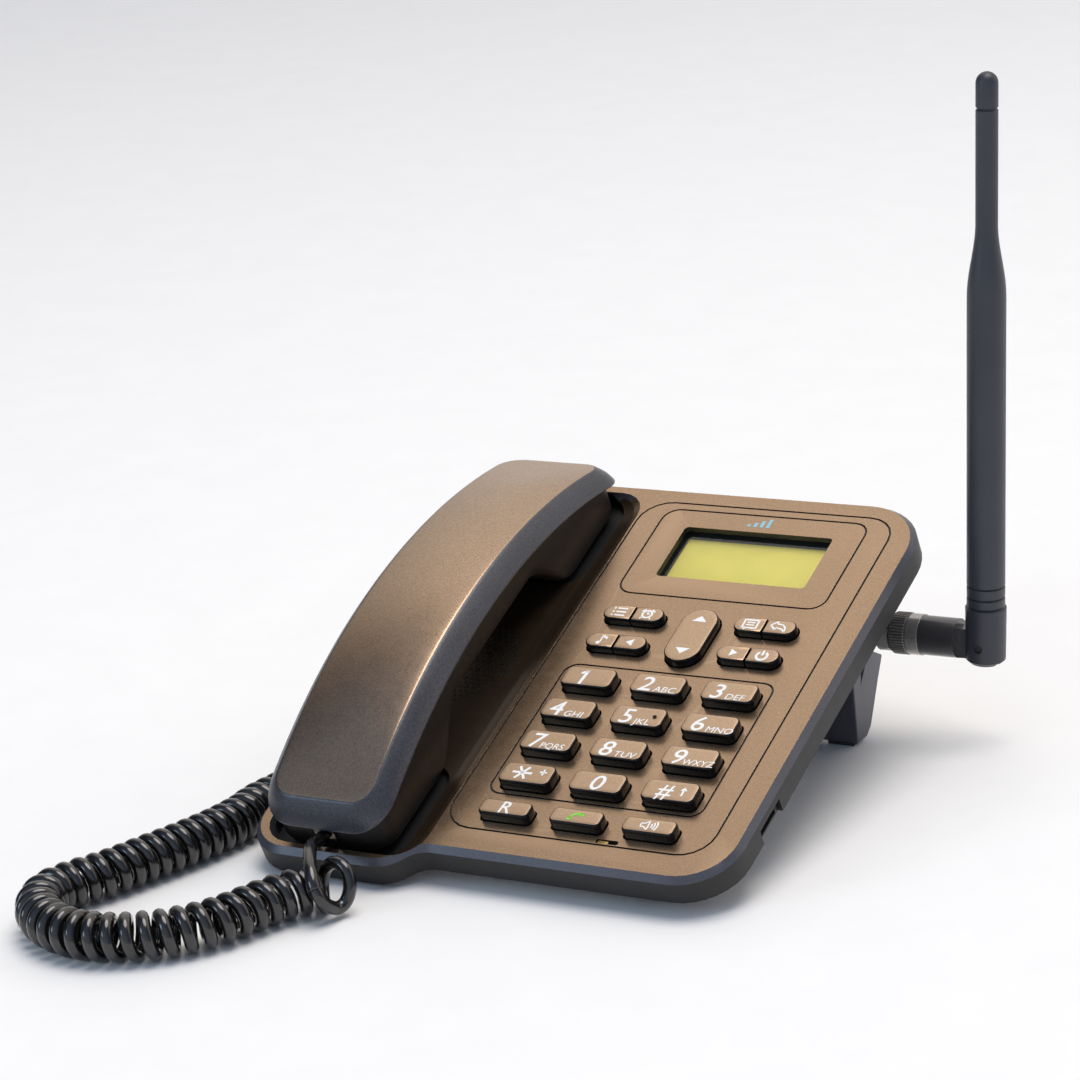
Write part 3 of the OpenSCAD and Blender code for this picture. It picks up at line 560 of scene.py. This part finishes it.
# How far each ring of a cap's edge is grown, and how far down from its top it lies.
KEY_EDGE = [(0, 1.3), (-0.04, 0.6), (-0.15, 0.25), (-0.32, 0.07), (-0.42, 0.02), (-0.5, 0), (-1.8, 0)]
KEY_R, FUNC_R, MIN_CORNER, SOFT_MARK_U = 2.4, 1.9, 0.3, 5.2
DIGIT_SIZE, LETTER_SIZE, R_SIZE = 9.3, 3.7, 7.2
DIGIT_LEFT, ZERO_LEFT, HASH_LEFT, DIGIT_DOWN = 6.6, 2.6, 4.4, 3.6
LETTERS_LEFT, FOUR_LETTERS_LEFT, LETTERS_DOWN = 0.6, 1.8, 3.7
R_LEFT, R_DOWN = 2.2, 2.5
NIB_R, NIB_RIGHT, NIB_UP, NIB_HEIGHT = 0.7, 5.9, 0.3, 0.3
MARK_SCALE, MARK_SINK, MARK_LIFT = 1.2, 0.05, 0.06
TEXT_SHEAR, TEXT_EXTRUDE, TEXT_LIFT, TEXT_MARGIN = 0.12, 0.05, 0.03, 0.03


def make_key(name, centre, outline, rise, flange=-2.3):
    """Key cap: glossy black sides with a rolled edge round a flat painted top; outline(d) is grown by d."""
    foot = [(KEY_FLANGE, KEY_FOOT), (KEY_FLANGE, flange), (0, flange + FLANGE_SLOPE)]
    steps = foot + [(d, rise - drop) for d, drop in KEY_EDGE]
    bm = bmesh.new()
    add_rings(bm, [[on_face(centre[0] + x, centre[1] + y, h) for x, y in outline(d)] for d, h in steps])
    for face in bm.faces:
        low = min((FACE.inverted() @ v.co).z for v in face.verts) / MM
        face.material_index = 1 if low > rise - TOP_MARGIN else 0
    finish_piece(name + "_cap", bm, [KEY_SIDE, KEY_TOP], BODY_OF[name], (name,), sharp=50)


def pill_half(side):
    """Outline of half a split pill: side -1 is the left half, 1 the right."""
    def outline(d):
        r = SOFT_L / 2 + d
        x = SOFT_W / 2 - SOFT_L / 2
        flat = SOFT_SPLIT / 2 - min(d, 0) * SPLIT_EASE
        ends = arc(x, 0, r, -90, 90, 16) + [(flat, r), (flat, -r)]
        return [(side * px, py) for px, py in (ends if side > 0 else ends[::-1])]
    return outline


def box_outline(w, l, r):
    """Outline of a rounded key."""
    return lambda d: rounded(w + 2 * d, l + 2 * d, max(r + d, MIN_CORNER))


def shape_piece(name, polygons, centre, body, material, height, thickness=MARK_LIFT, scale=MARK_SCALE):
    """Flat printed mark: polygons in mm about a centre on the face, just above height."""
    bm = bmesh.new()
    for polygon in polygons:
        spots = [(centre[0] + scale * x, centre[1] + scale * y) for x, y in polygon]
        rows = [[bm.verts.new(on_face(*spot, h)) for spot in spots]
                for h in (height - MARK_SINK, height + thickness)]
        bm.faces.new(rows[1])
        join_rows(bm, rows)
    finish_piece(name, bm, [material], body)


def text_piece(name, words, size, start, body, stretch=1.0, bold=0.006):
    """Words of a plain sans face on a key top, from start; what bold throws out is pulled back in."""
    curve = bpy.data.curves.new(name, "FONT")
    curve.body = words
    curve.size = size * MM
    curve.shear = TEXT_SHEAR
    curve.offset = bold * size * MM
    curve.extrude = TEXT_EXTRUDE * MM
    curve.resolution_u = 3
    holder = link_object(name + "_text", curve)
    bpy.context.view_layer.update()
    mesh = bpy.data.meshes.new_from_object(holder)
    curve.offset = 0
    bpy.context.view_layer.update()
    plain = bpy.data.meshes.new_from_object(holder)
    margin = TEXT_MARGIN * size * MM
    for axis in (0, 1):
        low = min(v.co[axis] for v in plain.vertices) - margin
        high = max(v.co[axis] for v in plain.vertices) + margin
        for vert in mesh.vertices:
            vert.co[axis] = min(max(vert.co[axis], low), high)
    bpy.data.meshes.remove(plain)
    bpy.data.objects.remove(holder)
    bpy.data.curves.remove(curve)
    mesh.transform(FACE @ Matrix.Translation(Vector((*start, KEY_RISE + TEXT_LIFT)) * MM)
                   @ Matrix.Diagonal((stretch, 1, 1, 1)))
    mesh.materials.clear()
    mesh.materials.append(WHITE)
    piece = link_object(name, mesh)
    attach(piece, body)


def bar(x0, y0, x1, y1, width):
    """A straight stroke as a polygon."""
    along = Vector((x1 - x0, y1 - y0)).normalized() * width / 2
    side_x, side_y = -along.y, along.x
    return [(x0 - side_x, y0 - side_y), (x1 - side_x, y1 - side_y),
            (x1 + side_x, y1 + side_y), (x0 + side_x, y0 + side_y)]


def closed_stroke(corners, width):
    """Bars round a closed outline."""
    return [bar(*a, *b, width) for a, b in zip(corners, corners[1:] + corners[:1])]


def ring_marks(cx, cy, r, width, a0=0, a1=360, steps=20):
    """An arc stroke as short polygons."""
    marks = []
    for i in range(steps):
        b0, b1 = a0 + (a1 - a0) * i / steps, a0 + (a1 - a0) * (i + 1) / steps
        marks.append(arc(cx, cy, r + width / 2, b0, b1, 1) + arc(cx, cy, r - width / 2, b1, b0, 1))
    return marks


DIGIT_KEYS = ("1", "2", "3", "4", "5", "6", "7", "8", "9", "star", "0", "hash")
LETTERS = {"2": "ABC", "3": "DEF", "4": "GHI", "5": "JKL", "6": "MNO", "7": "PQRS", "8": "TUV", "9": "WXYZ"}
FUNC_KEYS = ["recall", "call", "speaker"]
SOFT_KEYS = ["menu", "alarm", "message", "back", "music", "left", "right", "power"]
STROKE = 0.58


def pictogram(name):
    """Polygons of a soft key's or function key's mark, in mm about the key's middle."""
    if name == "menu":
        marks = [bar(-1.1, y, 2.0, y, STROKE) for y in (-1.4, 0, 1.4)]
        return marks + [bar(-2.2, y, -1.7, y, STROKE + 0.1) for y in (-1.4, 0, 1.4)]
    if name == "alarm":
        marks = ring_marks(0, 0, 1.45, STROKE) + [bar(0, 0, 0, 0.9, 0.45), bar(0, 0, 0.7, 0.2, 0.45)]
        return marks + [bar(-2, 1.0, -1.0, 1.9, 0.5), bar(2, 1.0, 1.0, 1.9, 0.5),
                        bar(-1.2, -1.3, -1.7, -2, 0.4), bar(1.2, -1.3, 1.7, -2, 0.4)]
    if name == "message":
        frame_marks = [bar(-2.1, -1.5, 2.1, -1.5, STROKE), bar(-2.1, 1.7, 2.1, 1.7, STROKE),
                       bar(-2.1, -1.7, -2.1, 1.9, STROKE), bar(2.1, -1.7, 2.1, 1.9, STROKE)]
        return frame_marks + [bar(-1.2, 0.7, 1.2, 0.7, 0.48), bar(-1.2, -0.3, 1.2, -0.3, 0.48),
                              [(-1.6, -1.6), (-0.4, -1.6), (-1.5, -2.4)]]
    if name == "back":
        return closed_stroke([(-2.6, 0.4), (-0.8, 2.1), (-0.8, 1.1), (0.9, 0.9), (2.0, -0.2), (2.2, -2.0),
                              (1.3, -0.9), (-0.8, -0.4), (-0.8, -1.3)], 0.5)
    if name == "music":
        return [bar(-0.3, -1.3, -0.3, 1.8, 0.4), [(-0.3, 1.9), (1.4, 1.1), (1.4, 0.3), (-0.3, 1.1)],
                arc(-0.8, -1.3, 0.65, 0, 330, 11)]
    if name == "left":
        return [[(-1.2, 0), (1.0, 1.4), (1.0, -1.4)]]
    if name == "right":
        return [[(1.2, 0), (-1.0, -1.4), (-1.0, 1.4)]]
    if name == "power":
        return ring_marks(0, -0.2, 1.6, 0.75, 125, 415, 18) + [bar(0, 0, 0, 1.9, 0.7)]
    if name == "call":
        return (ring_marks(0.6, -1.6, 2.6, 0.7, 75, 165, 8)
                + [bar(-2.1, -1.5, -1.5, -0.5, 1.0), bar(0.9, 0.9, 1.9, 0.4, 1.0)])
    if name == "speaker":
        cone = [(-2.4, -0.6), (-1.4, -0.6), (-0.2, -1.6), (-0.2, 1.6), (-1.4, 0.6), (-2.4, 0.6)]
        waves = [m for r in (1.2, 2.0, 2.8) for m in ring_marks(-0.4, 0, r, 0.42, -35, 35, 5)]
        return closed_stroke(cone, 0.4) + waves
    return []


def digit_legend(key, u, v):
    """Digit, letters or mark of one of the twelve digit keys; the 1 and the star are drawn with bars."""
    name, body = "key_" + key, BODY_OF["key_" + key]
    if key == "1":
        stem, flag = bar(-1.5, -3.2, -0.9, 2.3, 0.95), bar(-2.6, 1.0, -0.75, 2.1, 0.8)
        shape_piece(name + "_digit", [stem, flag], (u, v), body, WHITE, KEY_RISE)
    elif key == "hash":
        text_piece(name + "_digit", "#", DIGIT_SIZE, (u - HASH_LEFT, v - DIGIT_DOWN), body, stretch=0.95)
    elif key != "star":
        left = ZERO_LEFT if key == "0" else DIGIT_LEFT
        text_piece(name + "_digit", key, DIGIT_SIZE, (u - left, v - DIGIT_DOWN), body, stretch=1.1)
    if key in LETTERS:
        words = LETTERS[key]
        left, stretch = (LETTERS_LEFT, 1.12) if len(words) < 4 else (FOUR_LETTERS_LEFT, 1.0)
        start = (u - left, v - LETTERS_DOWN)
        text_piece(name + "_letters", words, LETTER_SIZE, start, body, stretch, bold=0)
    if key == "star":
        angles = [math.radians(degrees) for degrees in (0, 60, 120)]
        reach = [(3 * math.cos(a), 2.6 * math.sin(a)) for a in angles]
        spokes = [bar(-x - 1.4, -y, x - 1.4, y, 0.75) for x, y in reach]
        plus = [bar(3.6, 0.9, 5.8, 0.9, 0.5), bar(4.7, -0.2, 4.7, 2.0, 0.5)]
        shape_piece(name + "_mark", spokes + plus, (u, v), body, WHITE, KEY_RISE)
    if key == "hash":
        arrow = [bar(3.9, -1.6, 3.9, 0.6, 0.6), [(2.9, 0.4), (4.9, 0.4), (3.9, 1.7)]]
        shape_piece(name + "_mark", arrow, (u, v), body, WHITE, KEY_RISE)
    if key == "5":
        nib, middle = arc(0, 0, NIB_R, 0, 330, 11), (u + NIB_RIGHT, v + NIB_UP)
        shape_piece(name + "_nib", [nib], middle, body, KEY_SIDE, KEY_RISE, NIB_HEIGHT, scale=1)


def make_digit_keys():
    for i, key in enumerate(DIGIT_KEYS):
        u, v = KEY_U + PITCH_U * (i % 3), -PITCH_V * (i // 3)
        make_key("key_" + key, (u, v), box_outline(KEY_W, KEY_L, KEY_R), KEY_RISE)
        digit_legend(key, u, v)


def make_func_keys():
    for i, key in enumerate(FUNC_KEYS):
        name = "key_" + key
        u, v = KEY_U + PITCH_U * i, FUNC_V
        make_key(name, (u, v), box_outline(FUNC_W, FUNC_L, FUNC_R), KEY_RISE)
        if key == "recall":
            text_piece(name + "_digit", "R", R_SIZE, (u - R_LEFT, v - R_DOWN), BODY_OF[name])
        else:
            tint = GREEN if key == "call" else WHITE
            shape_piece(name + "_mark", pictogram(key), (u, v), BODY_OF[name], tint, KEY_RISE)


def make_soft_keys():
    for i, key in enumerate(SOFT_KEYS):
        name = "key_" + key
        side = 1 if i % 2 else -1
        u, v = SOFT_U[(i // 2) % 2], SOFT_V[i // 4]
        make_key(name, (u, v), pill_half(side), SOFT_RISE)
        middle = (u + side * SOFT_MARK_U, v)
        shape_piece(name + "_mark", pictogram(key), middle, BODY_OF[name], WHITE, SOFT_RISE)


def make_rocker():
    """The up/down key; its flange lies lower than the others' so that it clears the shell when it tilts."""
    def outline(d):
        return rounded(ROCKER_W + 2 * d, ROCKER_L + 2 * d, ROCKER_W / 2 + d - 0.01, 16)

    make_key("nav_rocker", ROCKER, outline, SOFT_RISE, flange=-3.1)
    up = [(-2.25, 5.5), (2.25, 5.5), (0, 7.8)]
    down = [(x, -y) for x, y in up][::-1]
    for name, mark in (("nav_mark_down", down), ("nav_mark_up", up)):
        shape_piece(name, [mark], ROCKER, "nav_rocker", WHITE, SOFT_RISE)


# ---------------------------------------------------------------- display
# The steps are the width, length and height of each ring, from below.
LENS_C = (28.2, 69.0)
WINDOW_R, PANEL_R = 1.2, 0.8
WINDOW_STEPS = ((59.4, 29.4, -3.3), (59.4, 29.4, -2.1), (56.2, 26.2, -2.05), (55.6, 25.6, -2.0))
PANEL_STEPS = ((61, 33, -7.6), (61, 33, -4.75), (55.1, 24.2, -4.75), (54.5, 23.6, -4.6))
SCREEN_LOW_H = -4.65
SIGNAL = (23, 86.3)


def stepped_block(steps, r):
    """Rounded block about the display's middle, one ring for each step."""
    bm = bmesh.new()
    add_rings(bm, [[on_face(LENS_C[0] + x, LENS_C[1] + y, h) for x, y in rounded(w, l, r)]
                   for w, l, h in steps])
    return bm


def make_display():
    window = stepped_block(WINDOW_STEPS, WINDOW_R)
    finish_piece("display_window", window, [LENS], "base", ("display_lens",), sharp=60)
    bm = stepped_block(PANEL_STEPS, PANEL_R)
    for face in bm.faces:
        middle = FACE.inverted() @ face.calc_center_median() / MM
        face.material_index = 1 if middle.z > SCREEN_LOW_H else 0
    finish_piece("display_panel", bm, [BLACK_AND_HOLE_SHADE, SCREEN], "base", ("display_module",), sharp=60)
    bars = [bar(2 * i, -1.4, 2 * i, -0.4 + 0.9 * i, 1.1) for i in range(4)]
    shape_piece("signal_mark", bars, SIGNAL, "base", PALE_BLUE, 0)


# ---------------------------------------------------------------- handset
HS_U, HS_V0, HS_V1, HS_HALF, HS_R = -54.0, -86.0, 101.0, 24.0, 12.5
HS_TOP, HS_ARCH, HS_CROWN_V, BAND = 32.6, 225.0, 4.0, 6.8
CROWN, CROWN_EDGE, CROWN_RUN = 1.6, 5.0, 30.0
SIDE_STEPS, END_STEPS, CORNER_STEPS = 48, 10, 8
HS_MIN_R, HS_MIN_FLAT = 0.4, 0.05
# How far in from the outline and how far down from the arch each ring of the handset's top lies.
TOP_STEPS = (
    (2.4, BAND + 0.3), (0.5, BAND + 0.25), (0.1, BAND + 0.05), (0, BAND - 0.35), (0.15, BAND - 0.75),
    (1.6, 3.35), (3.2, 1.7), (4.6, 0.42), (4.95, 0.17), (5.4, 0.04), (6.2, 0), (8, 0), (11, 0), (14, 0),
    (17, 0), (20, 0), (22.4, 0),
)
PAINT_FROM = 9  # the rings from this one on are painted, the others are the dark band


def blend_step(x):
    """0 below 0, 1 above 1 and a smooth step between."""
    x = min(max(x, 0.0), 1.0)
    return x * x * (3 - 2 * x)


def arch(v):
    """Height of the handset's top at v, without its crown."""
    return HS_TOP - HS_ARCH + math.sqrt(HS_ARCH ** 2 - (v - HS_CROWN_V) ** 2)


def handset_outline(d):
    """Plan outline of the handset moved inwards by d, with the same number of points for every d."""
    half, low, high = HS_HALF - d, HS_V0 + d, HS_V1 - d
    r = min(max(HS_R - d, HS_MIN_R), half - HS_MIN_FLAT)
    side = [(half, low + r + (high - low - 2 * r) * i / SIDE_STEPS) for i in range(SIDE_STEPS)]
    end = [(half - r - 2 * (half - r) * i / END_STEPS, high) for i in range(END_STEPS)]
    right = side + arc(half - r, high - r, r, 0, 90, CORNER_STEPS)[:-1] + end
    left = [(-u, low + high - v) for u, v in right[:SIDE_STEPS]]
    return (right + arc(r - half, high - r, r, 90, 180, CORNER_STEPS)[:-1] + left
            + arc(r - half, low + r, r, 180, 270, CORNER_STEPS)[:-1]
            + [(-u, low) for u, _ in end] + arc(half - r, low + r, r, 270, 360, CORNER_STEPS)[:-1])


def crown(u, v):
    """Height that the rounding across the handset's top adds; it fades out at both ends."""
    inside = blend_step((min(v - HS_V0, HS_V1 - v) - CROWN_EDGE) / CROWN_RUN)
    return CROWN * max(0, 1 - (u / (HS_HALF - CROWN_EDGE)) ** 2) * inside


def make_handset_top():
    """Painted top with its sloped dark band: rings from the band inwards, closed by strips across."""
    rings = [[on_face(HS_U + u, v, arch(v) - drop + crown(u, v)) for u, v in handset_outline(d)]
             for d, drop in TOP_STEPS]
    bm = bmesh.new()
    rows = add_rings(bm, rings, close_high=False)
    painted = {vert for row in rows[PAINT_FROM:] for vert in row}
    for face in bm.faces:
        face.material_index = 0 if all(vert in painted for vert in face.verts) else 1
    inner = rows[-1]
    count = len(inner)
    left_start = SIDE_STEPS + 2 * CORNER_STEPS + END_STEPS
    left_end = left_start + SIDE_STEPS - 1
    for i in range(SIDE_STEPS - 1):
        bm.faces.new((inner[i], inner[i + 1], inner[left_end - 1 - i], inner[left_end - i]))
    bm.faces.new(inner[SIDE_STEPS - 1:left_start + 1])
    bm.faces.new([inner[i % count] for i in range(left_end, count + 1)])
    finish_piece("handset_top", bm, [HANDSET_PAINT, HANDSET_BAND], "handset",
                 ("handset_top_shell",), sharp=60)


CUP_H, GRIP_H = -4.8, 13.0
LOW_V0, LOW_V1, LOW_HALF, LOW_R = -83.4, 95.0, 21.8, 9.0
LOW_END_R, LOW_EDGE_R, LOW_END_GAP, LOW_OVERLAP = 3.5, 4.5, 0.02, 0.6
LOW_STATIONS = 90
GRIP_FRONT, GRIP_FRONT_RUN, GRIP_REAR, GRIP_REAR_RUN = -45, 22, 57, 24
EARPIECE, EAR_HOLE_R, MOUTHPIECE, MOUTH_HOLE_R, MOUTH_PITCH = (HS_U, 76), 1.1, (HS_U, -64), 0.9, 4
EAR_CIRCLES, HOLE_LIFT = ((5, 6), (9.5, 12)), 0.03


def under_side(v):
    """Height of the handset's underside at v: two cups joined by the raised grip."""
    rise = blend_step((v - GRIP_FRONT) / GRIP_FRONT_RUN) * blend_step((GRIP_REAR - v) / GRIP_REAR_RUN)
    r = LOW_END_R
    edge = min(v - LOW_V0, LOW_V1 - v, r)
    return CUP_H + (GRIP_H - CUP_H) * rise + r - math.sqrt(max(0, r ** 2 - (r - edge) ** 2))


def low_section(v):
    """Cross-section of the handset's lower half at v, rounded along its two lower edges."""
    edge = min(v - LOW_V0, LOW_V1 - v, LOW_R)
    half = LOW_HALF - LOW_R + math.sqrt(LOW_R ** 2 - (LOW_R - edge) ** 2)
    top, low = arch(v) - BAND + LOW_OVERLAP, under_side(v)
    r = min(LOW_EDGE_R, (top - low) / 2, half - 0.1)
    levels = [low + r + (top - low - r) * i / 4 for i in range(1, 5)]
    return ([(half, h) for h in reversed(levels)]
            + arc(half - r, low + r, r, 0, -90, 7) + arc(r - half, low + r, r, -90, -180, 7)
            + [(-half, h) for h in levels])


def make_handset_low():
    """Black lower half, skinned over sections that crowd together at its two ends."""
    start, span = LOW_V0 + LOW_END_GAP, LOW_V1 - LOW_V0 - 2 * LOW_END_GAP
    stations = [start + span * (0.5 - 0.5 * math.cos(math.pi * i / LOW_STATIONS))
                for i in range(LOW_STATIONS + 1)]
    bm = bmesh.new()
    add_rings(bm, [[on_face(HS_U + u, v, h) for u, h in low_section(v)] for v in stations])
    finish_piece("handset_low", bm, [HANDSET_BLACK], "handset",
                 ("handset_bottom_shell",), sharp=50)


def make_handset_hole_shade():
    """Dark discs that paint the shade in the holes of the earpiece and the mouthpiece."""
    bm = bmesh.new()
    spots = [(0, 0)]
    for r, n in EAR_CIRCLES:
        spots += [(r * math.cos(2 * math.pi * k / n), r * math.sin(2 * math.pi * k / n)) for k in range(n)]
    for u, v in spots:
        add_disc(bm, EARPIECE[0] + u, EARPIECE[1] + v, CUP_H - HOLE_LIFT, EAR_HOLE_R, 16)
    for i in (-1, 0, 1):
        add_disc(bm, MOUTHPIECE[0] + MOUTH_PITCH * i, MOUTHPIECE[1], CUP_H - HOLE_LIFT, MOUTH_HOLE_R, 16)
    finish_piece("handset_hole_shade", bm, [BLACK_AND_HOLE_SHADE], "handset")


# ---------------------------------------------------------------- antenna
JACK_Y, JACK_Z = 86.5, 36.6
NUT_X, NUT_L, NUT_R, RING_X, RING_L = 72.0, 6.0, 7.2, 78.2, 4.3
RIDGES, RIDGE_DEPTH, NUT_CHAMFER, NUT_EDGE_DROP, NUT_BORE_DROP = 44, 0.28, 0.55, 0.75, 2.0


def make_nut():
    """Knurled nut: fine ridges along its axis between chamfered ends, open along its bore."""
    count = RIDGES * 4
    end = NUT_X + NUT_L
    bm = bmesh.new()
    rows = []
    for x, drop in ((NUT_X, NUT_BORE_DROP), (NUT_X, NUT_EDGE_DROP), (NUT_X + NUT_CHAMFER, 0),
                    (end - NUT_CHAMFER, 0), (end, NUT_EDGE_DROP), (end, NUT_BORE_DROP)):
        row = []
        for i in range(count):
            angle = 2 * math.pi * i / count
            notched = i % 4 < 2 and drop < NUT_BORE_DROP
            r = NUT_R - drop - (RIDGE_DEPTH if notched else 0)
            row.append(bm.verts.new(on_table(x, JACK_Y + r * math.cos(angle), JACK_Z + r * math.sin(angle))))
        rows.append(row)
    join_rows(bm, rows + rows[:1])
    finish_piece("antenna_nut_knurled", bm, [KNURL], "antenna_nut", ("antenna_nut",), sharp=25)


def sleeve_material(centre, _normal):
    """0 black, 1 the silver ring, 2 the collar under the nut."""
    x = (centre.x - SHIFT.x) / MM
    if x < RING_X:
        return 2
    return 1 if x < RING_X + RING_L + 0.02 else 0


def make_antenna():
    make_nut()
    dress("antenna_sleeve", [SLEEVE, RING, COLLAR], sleeve_material, bevel=0.25, sharp=30)
    dress("antenna_mast", [MAST], bevel=0.2, sharp=25)
    dress("antenna_pin", [BLACK_AND_HOLE_SHADE], bevel=0.1)


# ---------------------------------------------------------------- the rest
MIC, MIC_H, MIC_CONTACT = (39.4, -68.4), -0.5, (3, 1.1, 0.4)


def make_inside():
    """What the shells hide, the plugs of the cord, and the gold contact in the microphone's slot."""
    for node, material in (
        ("main_board", BOARD), ("keypad_membrane", SILICONE), ("loudspeaker", BLACK_AND_HOLE_SHADE),
        ("base_microphone", STEEL), ("sim_holder", STEEL), ("hook_switch", BLACK_AND_HOLE_SHADE),
        ("hook_plunger", BLACK_AND_HOLE_SHADE), ("battery_pack", FILM), ("handset_receiver", STEEL),
        ("handset_microphone", STEEL), ("handset_jack", BLACK_AND_HOLE_SHADE), ("handset_screws", STEEL),
    ):
        dress(node, [material], bevel=0.15)
    for node in ("handset_plug", "base_plug"):
        NODES[node].data.materials.clear()
        NODES[node].data.materials.append(CORD)
    shape_piece("mic_contact", [rounded(*MIC_CONTACT, 4)], MIC, "base", GOLD, MIC_H)


FLOOR_HALF = 6  # metres
AIM_HEIGHT = 60


def make_stage():
    corners = [(x * FLOOR_HALF, y * FLOOR_HALF, 0) for x, y in ((-1, -1), (1, -1), (1, 1), (-1, 1))]
    mesh = bpy.data.meshes.new("floor")
    mesh.from_pydata(corners, [], [(0, 1, 2, 3)])
    floor = link_object("floor", mesh)
    mesh.materials.append(plastic("floor", (0.9, 0.888, 0.876), 0.6, grain=400, bump=0.02, vary=0.01,
                                  specular=0.3))


def area_light(name, direction, distance, size, power, color):
    """Round lamp of a size in metres, at a distance in metres from the phone, turned towards it."""
    data = bpy.data.lights.new(name, "AREA")
    data.shape = "DISK"
    data.size = size
    data.energy = power
    data.color = color
    light = link_object(name, data)
    aim = on_table(0, 0, AIM_HEIGHT)
    light.location = aim + Vector(direction).normalized() * distance
    light.rotation_euler = (aim - light.location).to_track_quat("-Z", "Y").to_euler()


# The room's colour from the front (0) to the back (1), and how dim its left side is.
SKY_STRENGTH = 1.15
LEFT_FROM, LEFT_TO, LEFT_DIM = -0.85, -0.5, 0.25
SKY = (
    (0.0, (0.5, 0.54, 0.6)), (0.2, (0.3, 0.37, 0.48)), (0.4, (0.13, 0.2, 0.34)),
    (0.51, (0.09, 0.12, 0.19)), (0.59, (0.25, 0.25, 0.27)), (0.645, (0.75, 0.72, 0.68)),
    (0.69, (1.0, 0.97, 0.94)), (0.8, (0.95, 0.92, 0.89)), (1.0, (0.62, 0.6, 0.58)),
)


def make_light():
    """A pale, warm room behind the phone, dim on the left and cool in front, and soft light from above."""
    scene = bpy.context.scene
    scene.view_settings.view_transform = "Standard"
    world = bpy.data.worlds.new("studio")
    scene.world = world
    world.use_nodes = True
    nodes, links = world.node_tree.nodes, world.node_tree.links
    coords = nodes.new("ShaderNodeTexCoord")
    axes = nodes.new("ShaderNodeSeparateXYZ")
    room = nodes.new("ShaderNodeValToRGB")
    ramp = room.color_ramp.elements
    while len(ramp) < len(SKY):
        ramp.new(1.0)
    for element, (position, color) in zip(ramp, SKY):
        element.position = position
        element.color = (*color, 1)
    links.new(coords.outputs["Generated"], axes.inputs["Vector"])
    depth = range_socket(nodes, links, axes.outputs["Y"], 0, 1, start=-1, end=1)
    links.new(depth, room.inputs["Fac"])
    left = range_socket(nodes, links, axes.outputs["X"], LEFT_DIM, 1, LEFT_FROM, LEFT_TO)
    shaded = nodes.new("ShaderNodeVectorMath")
    shaded.operation = "SCALE"
    links.new(room.outputs["Color"], shaded.inputs[0])
    links.new(left, shaded.inputs["Scale"])
    links.new(shaded.outputs["Vector"], nodes["Background"].inputs["Color"])
    nodes["Background"].inputs["Strength"].default_value = SKY_STRENGTH
    area_light("overhead", direction=(0.15, 0.1, 1.0), distance=2.4, size=1.8, power=42,
               color=(1.0, 0.96, 0.915))
    area_light("cool_window", direction=(-0.6, -0.75, 0.35), distance=2.4, size=0.7, power=7,
               color=(0.6, 0.8, 1.0))


make_case()
make_grille_hole_shade()
make_digit_keys()
make_func_keys()
make_soft_keys()
make_rocker()
make_display()
make_handset_top()
make_handset_low()
make_handset_hole_shade()
make_antenna()
make_inside()
make_stage()
make_light()
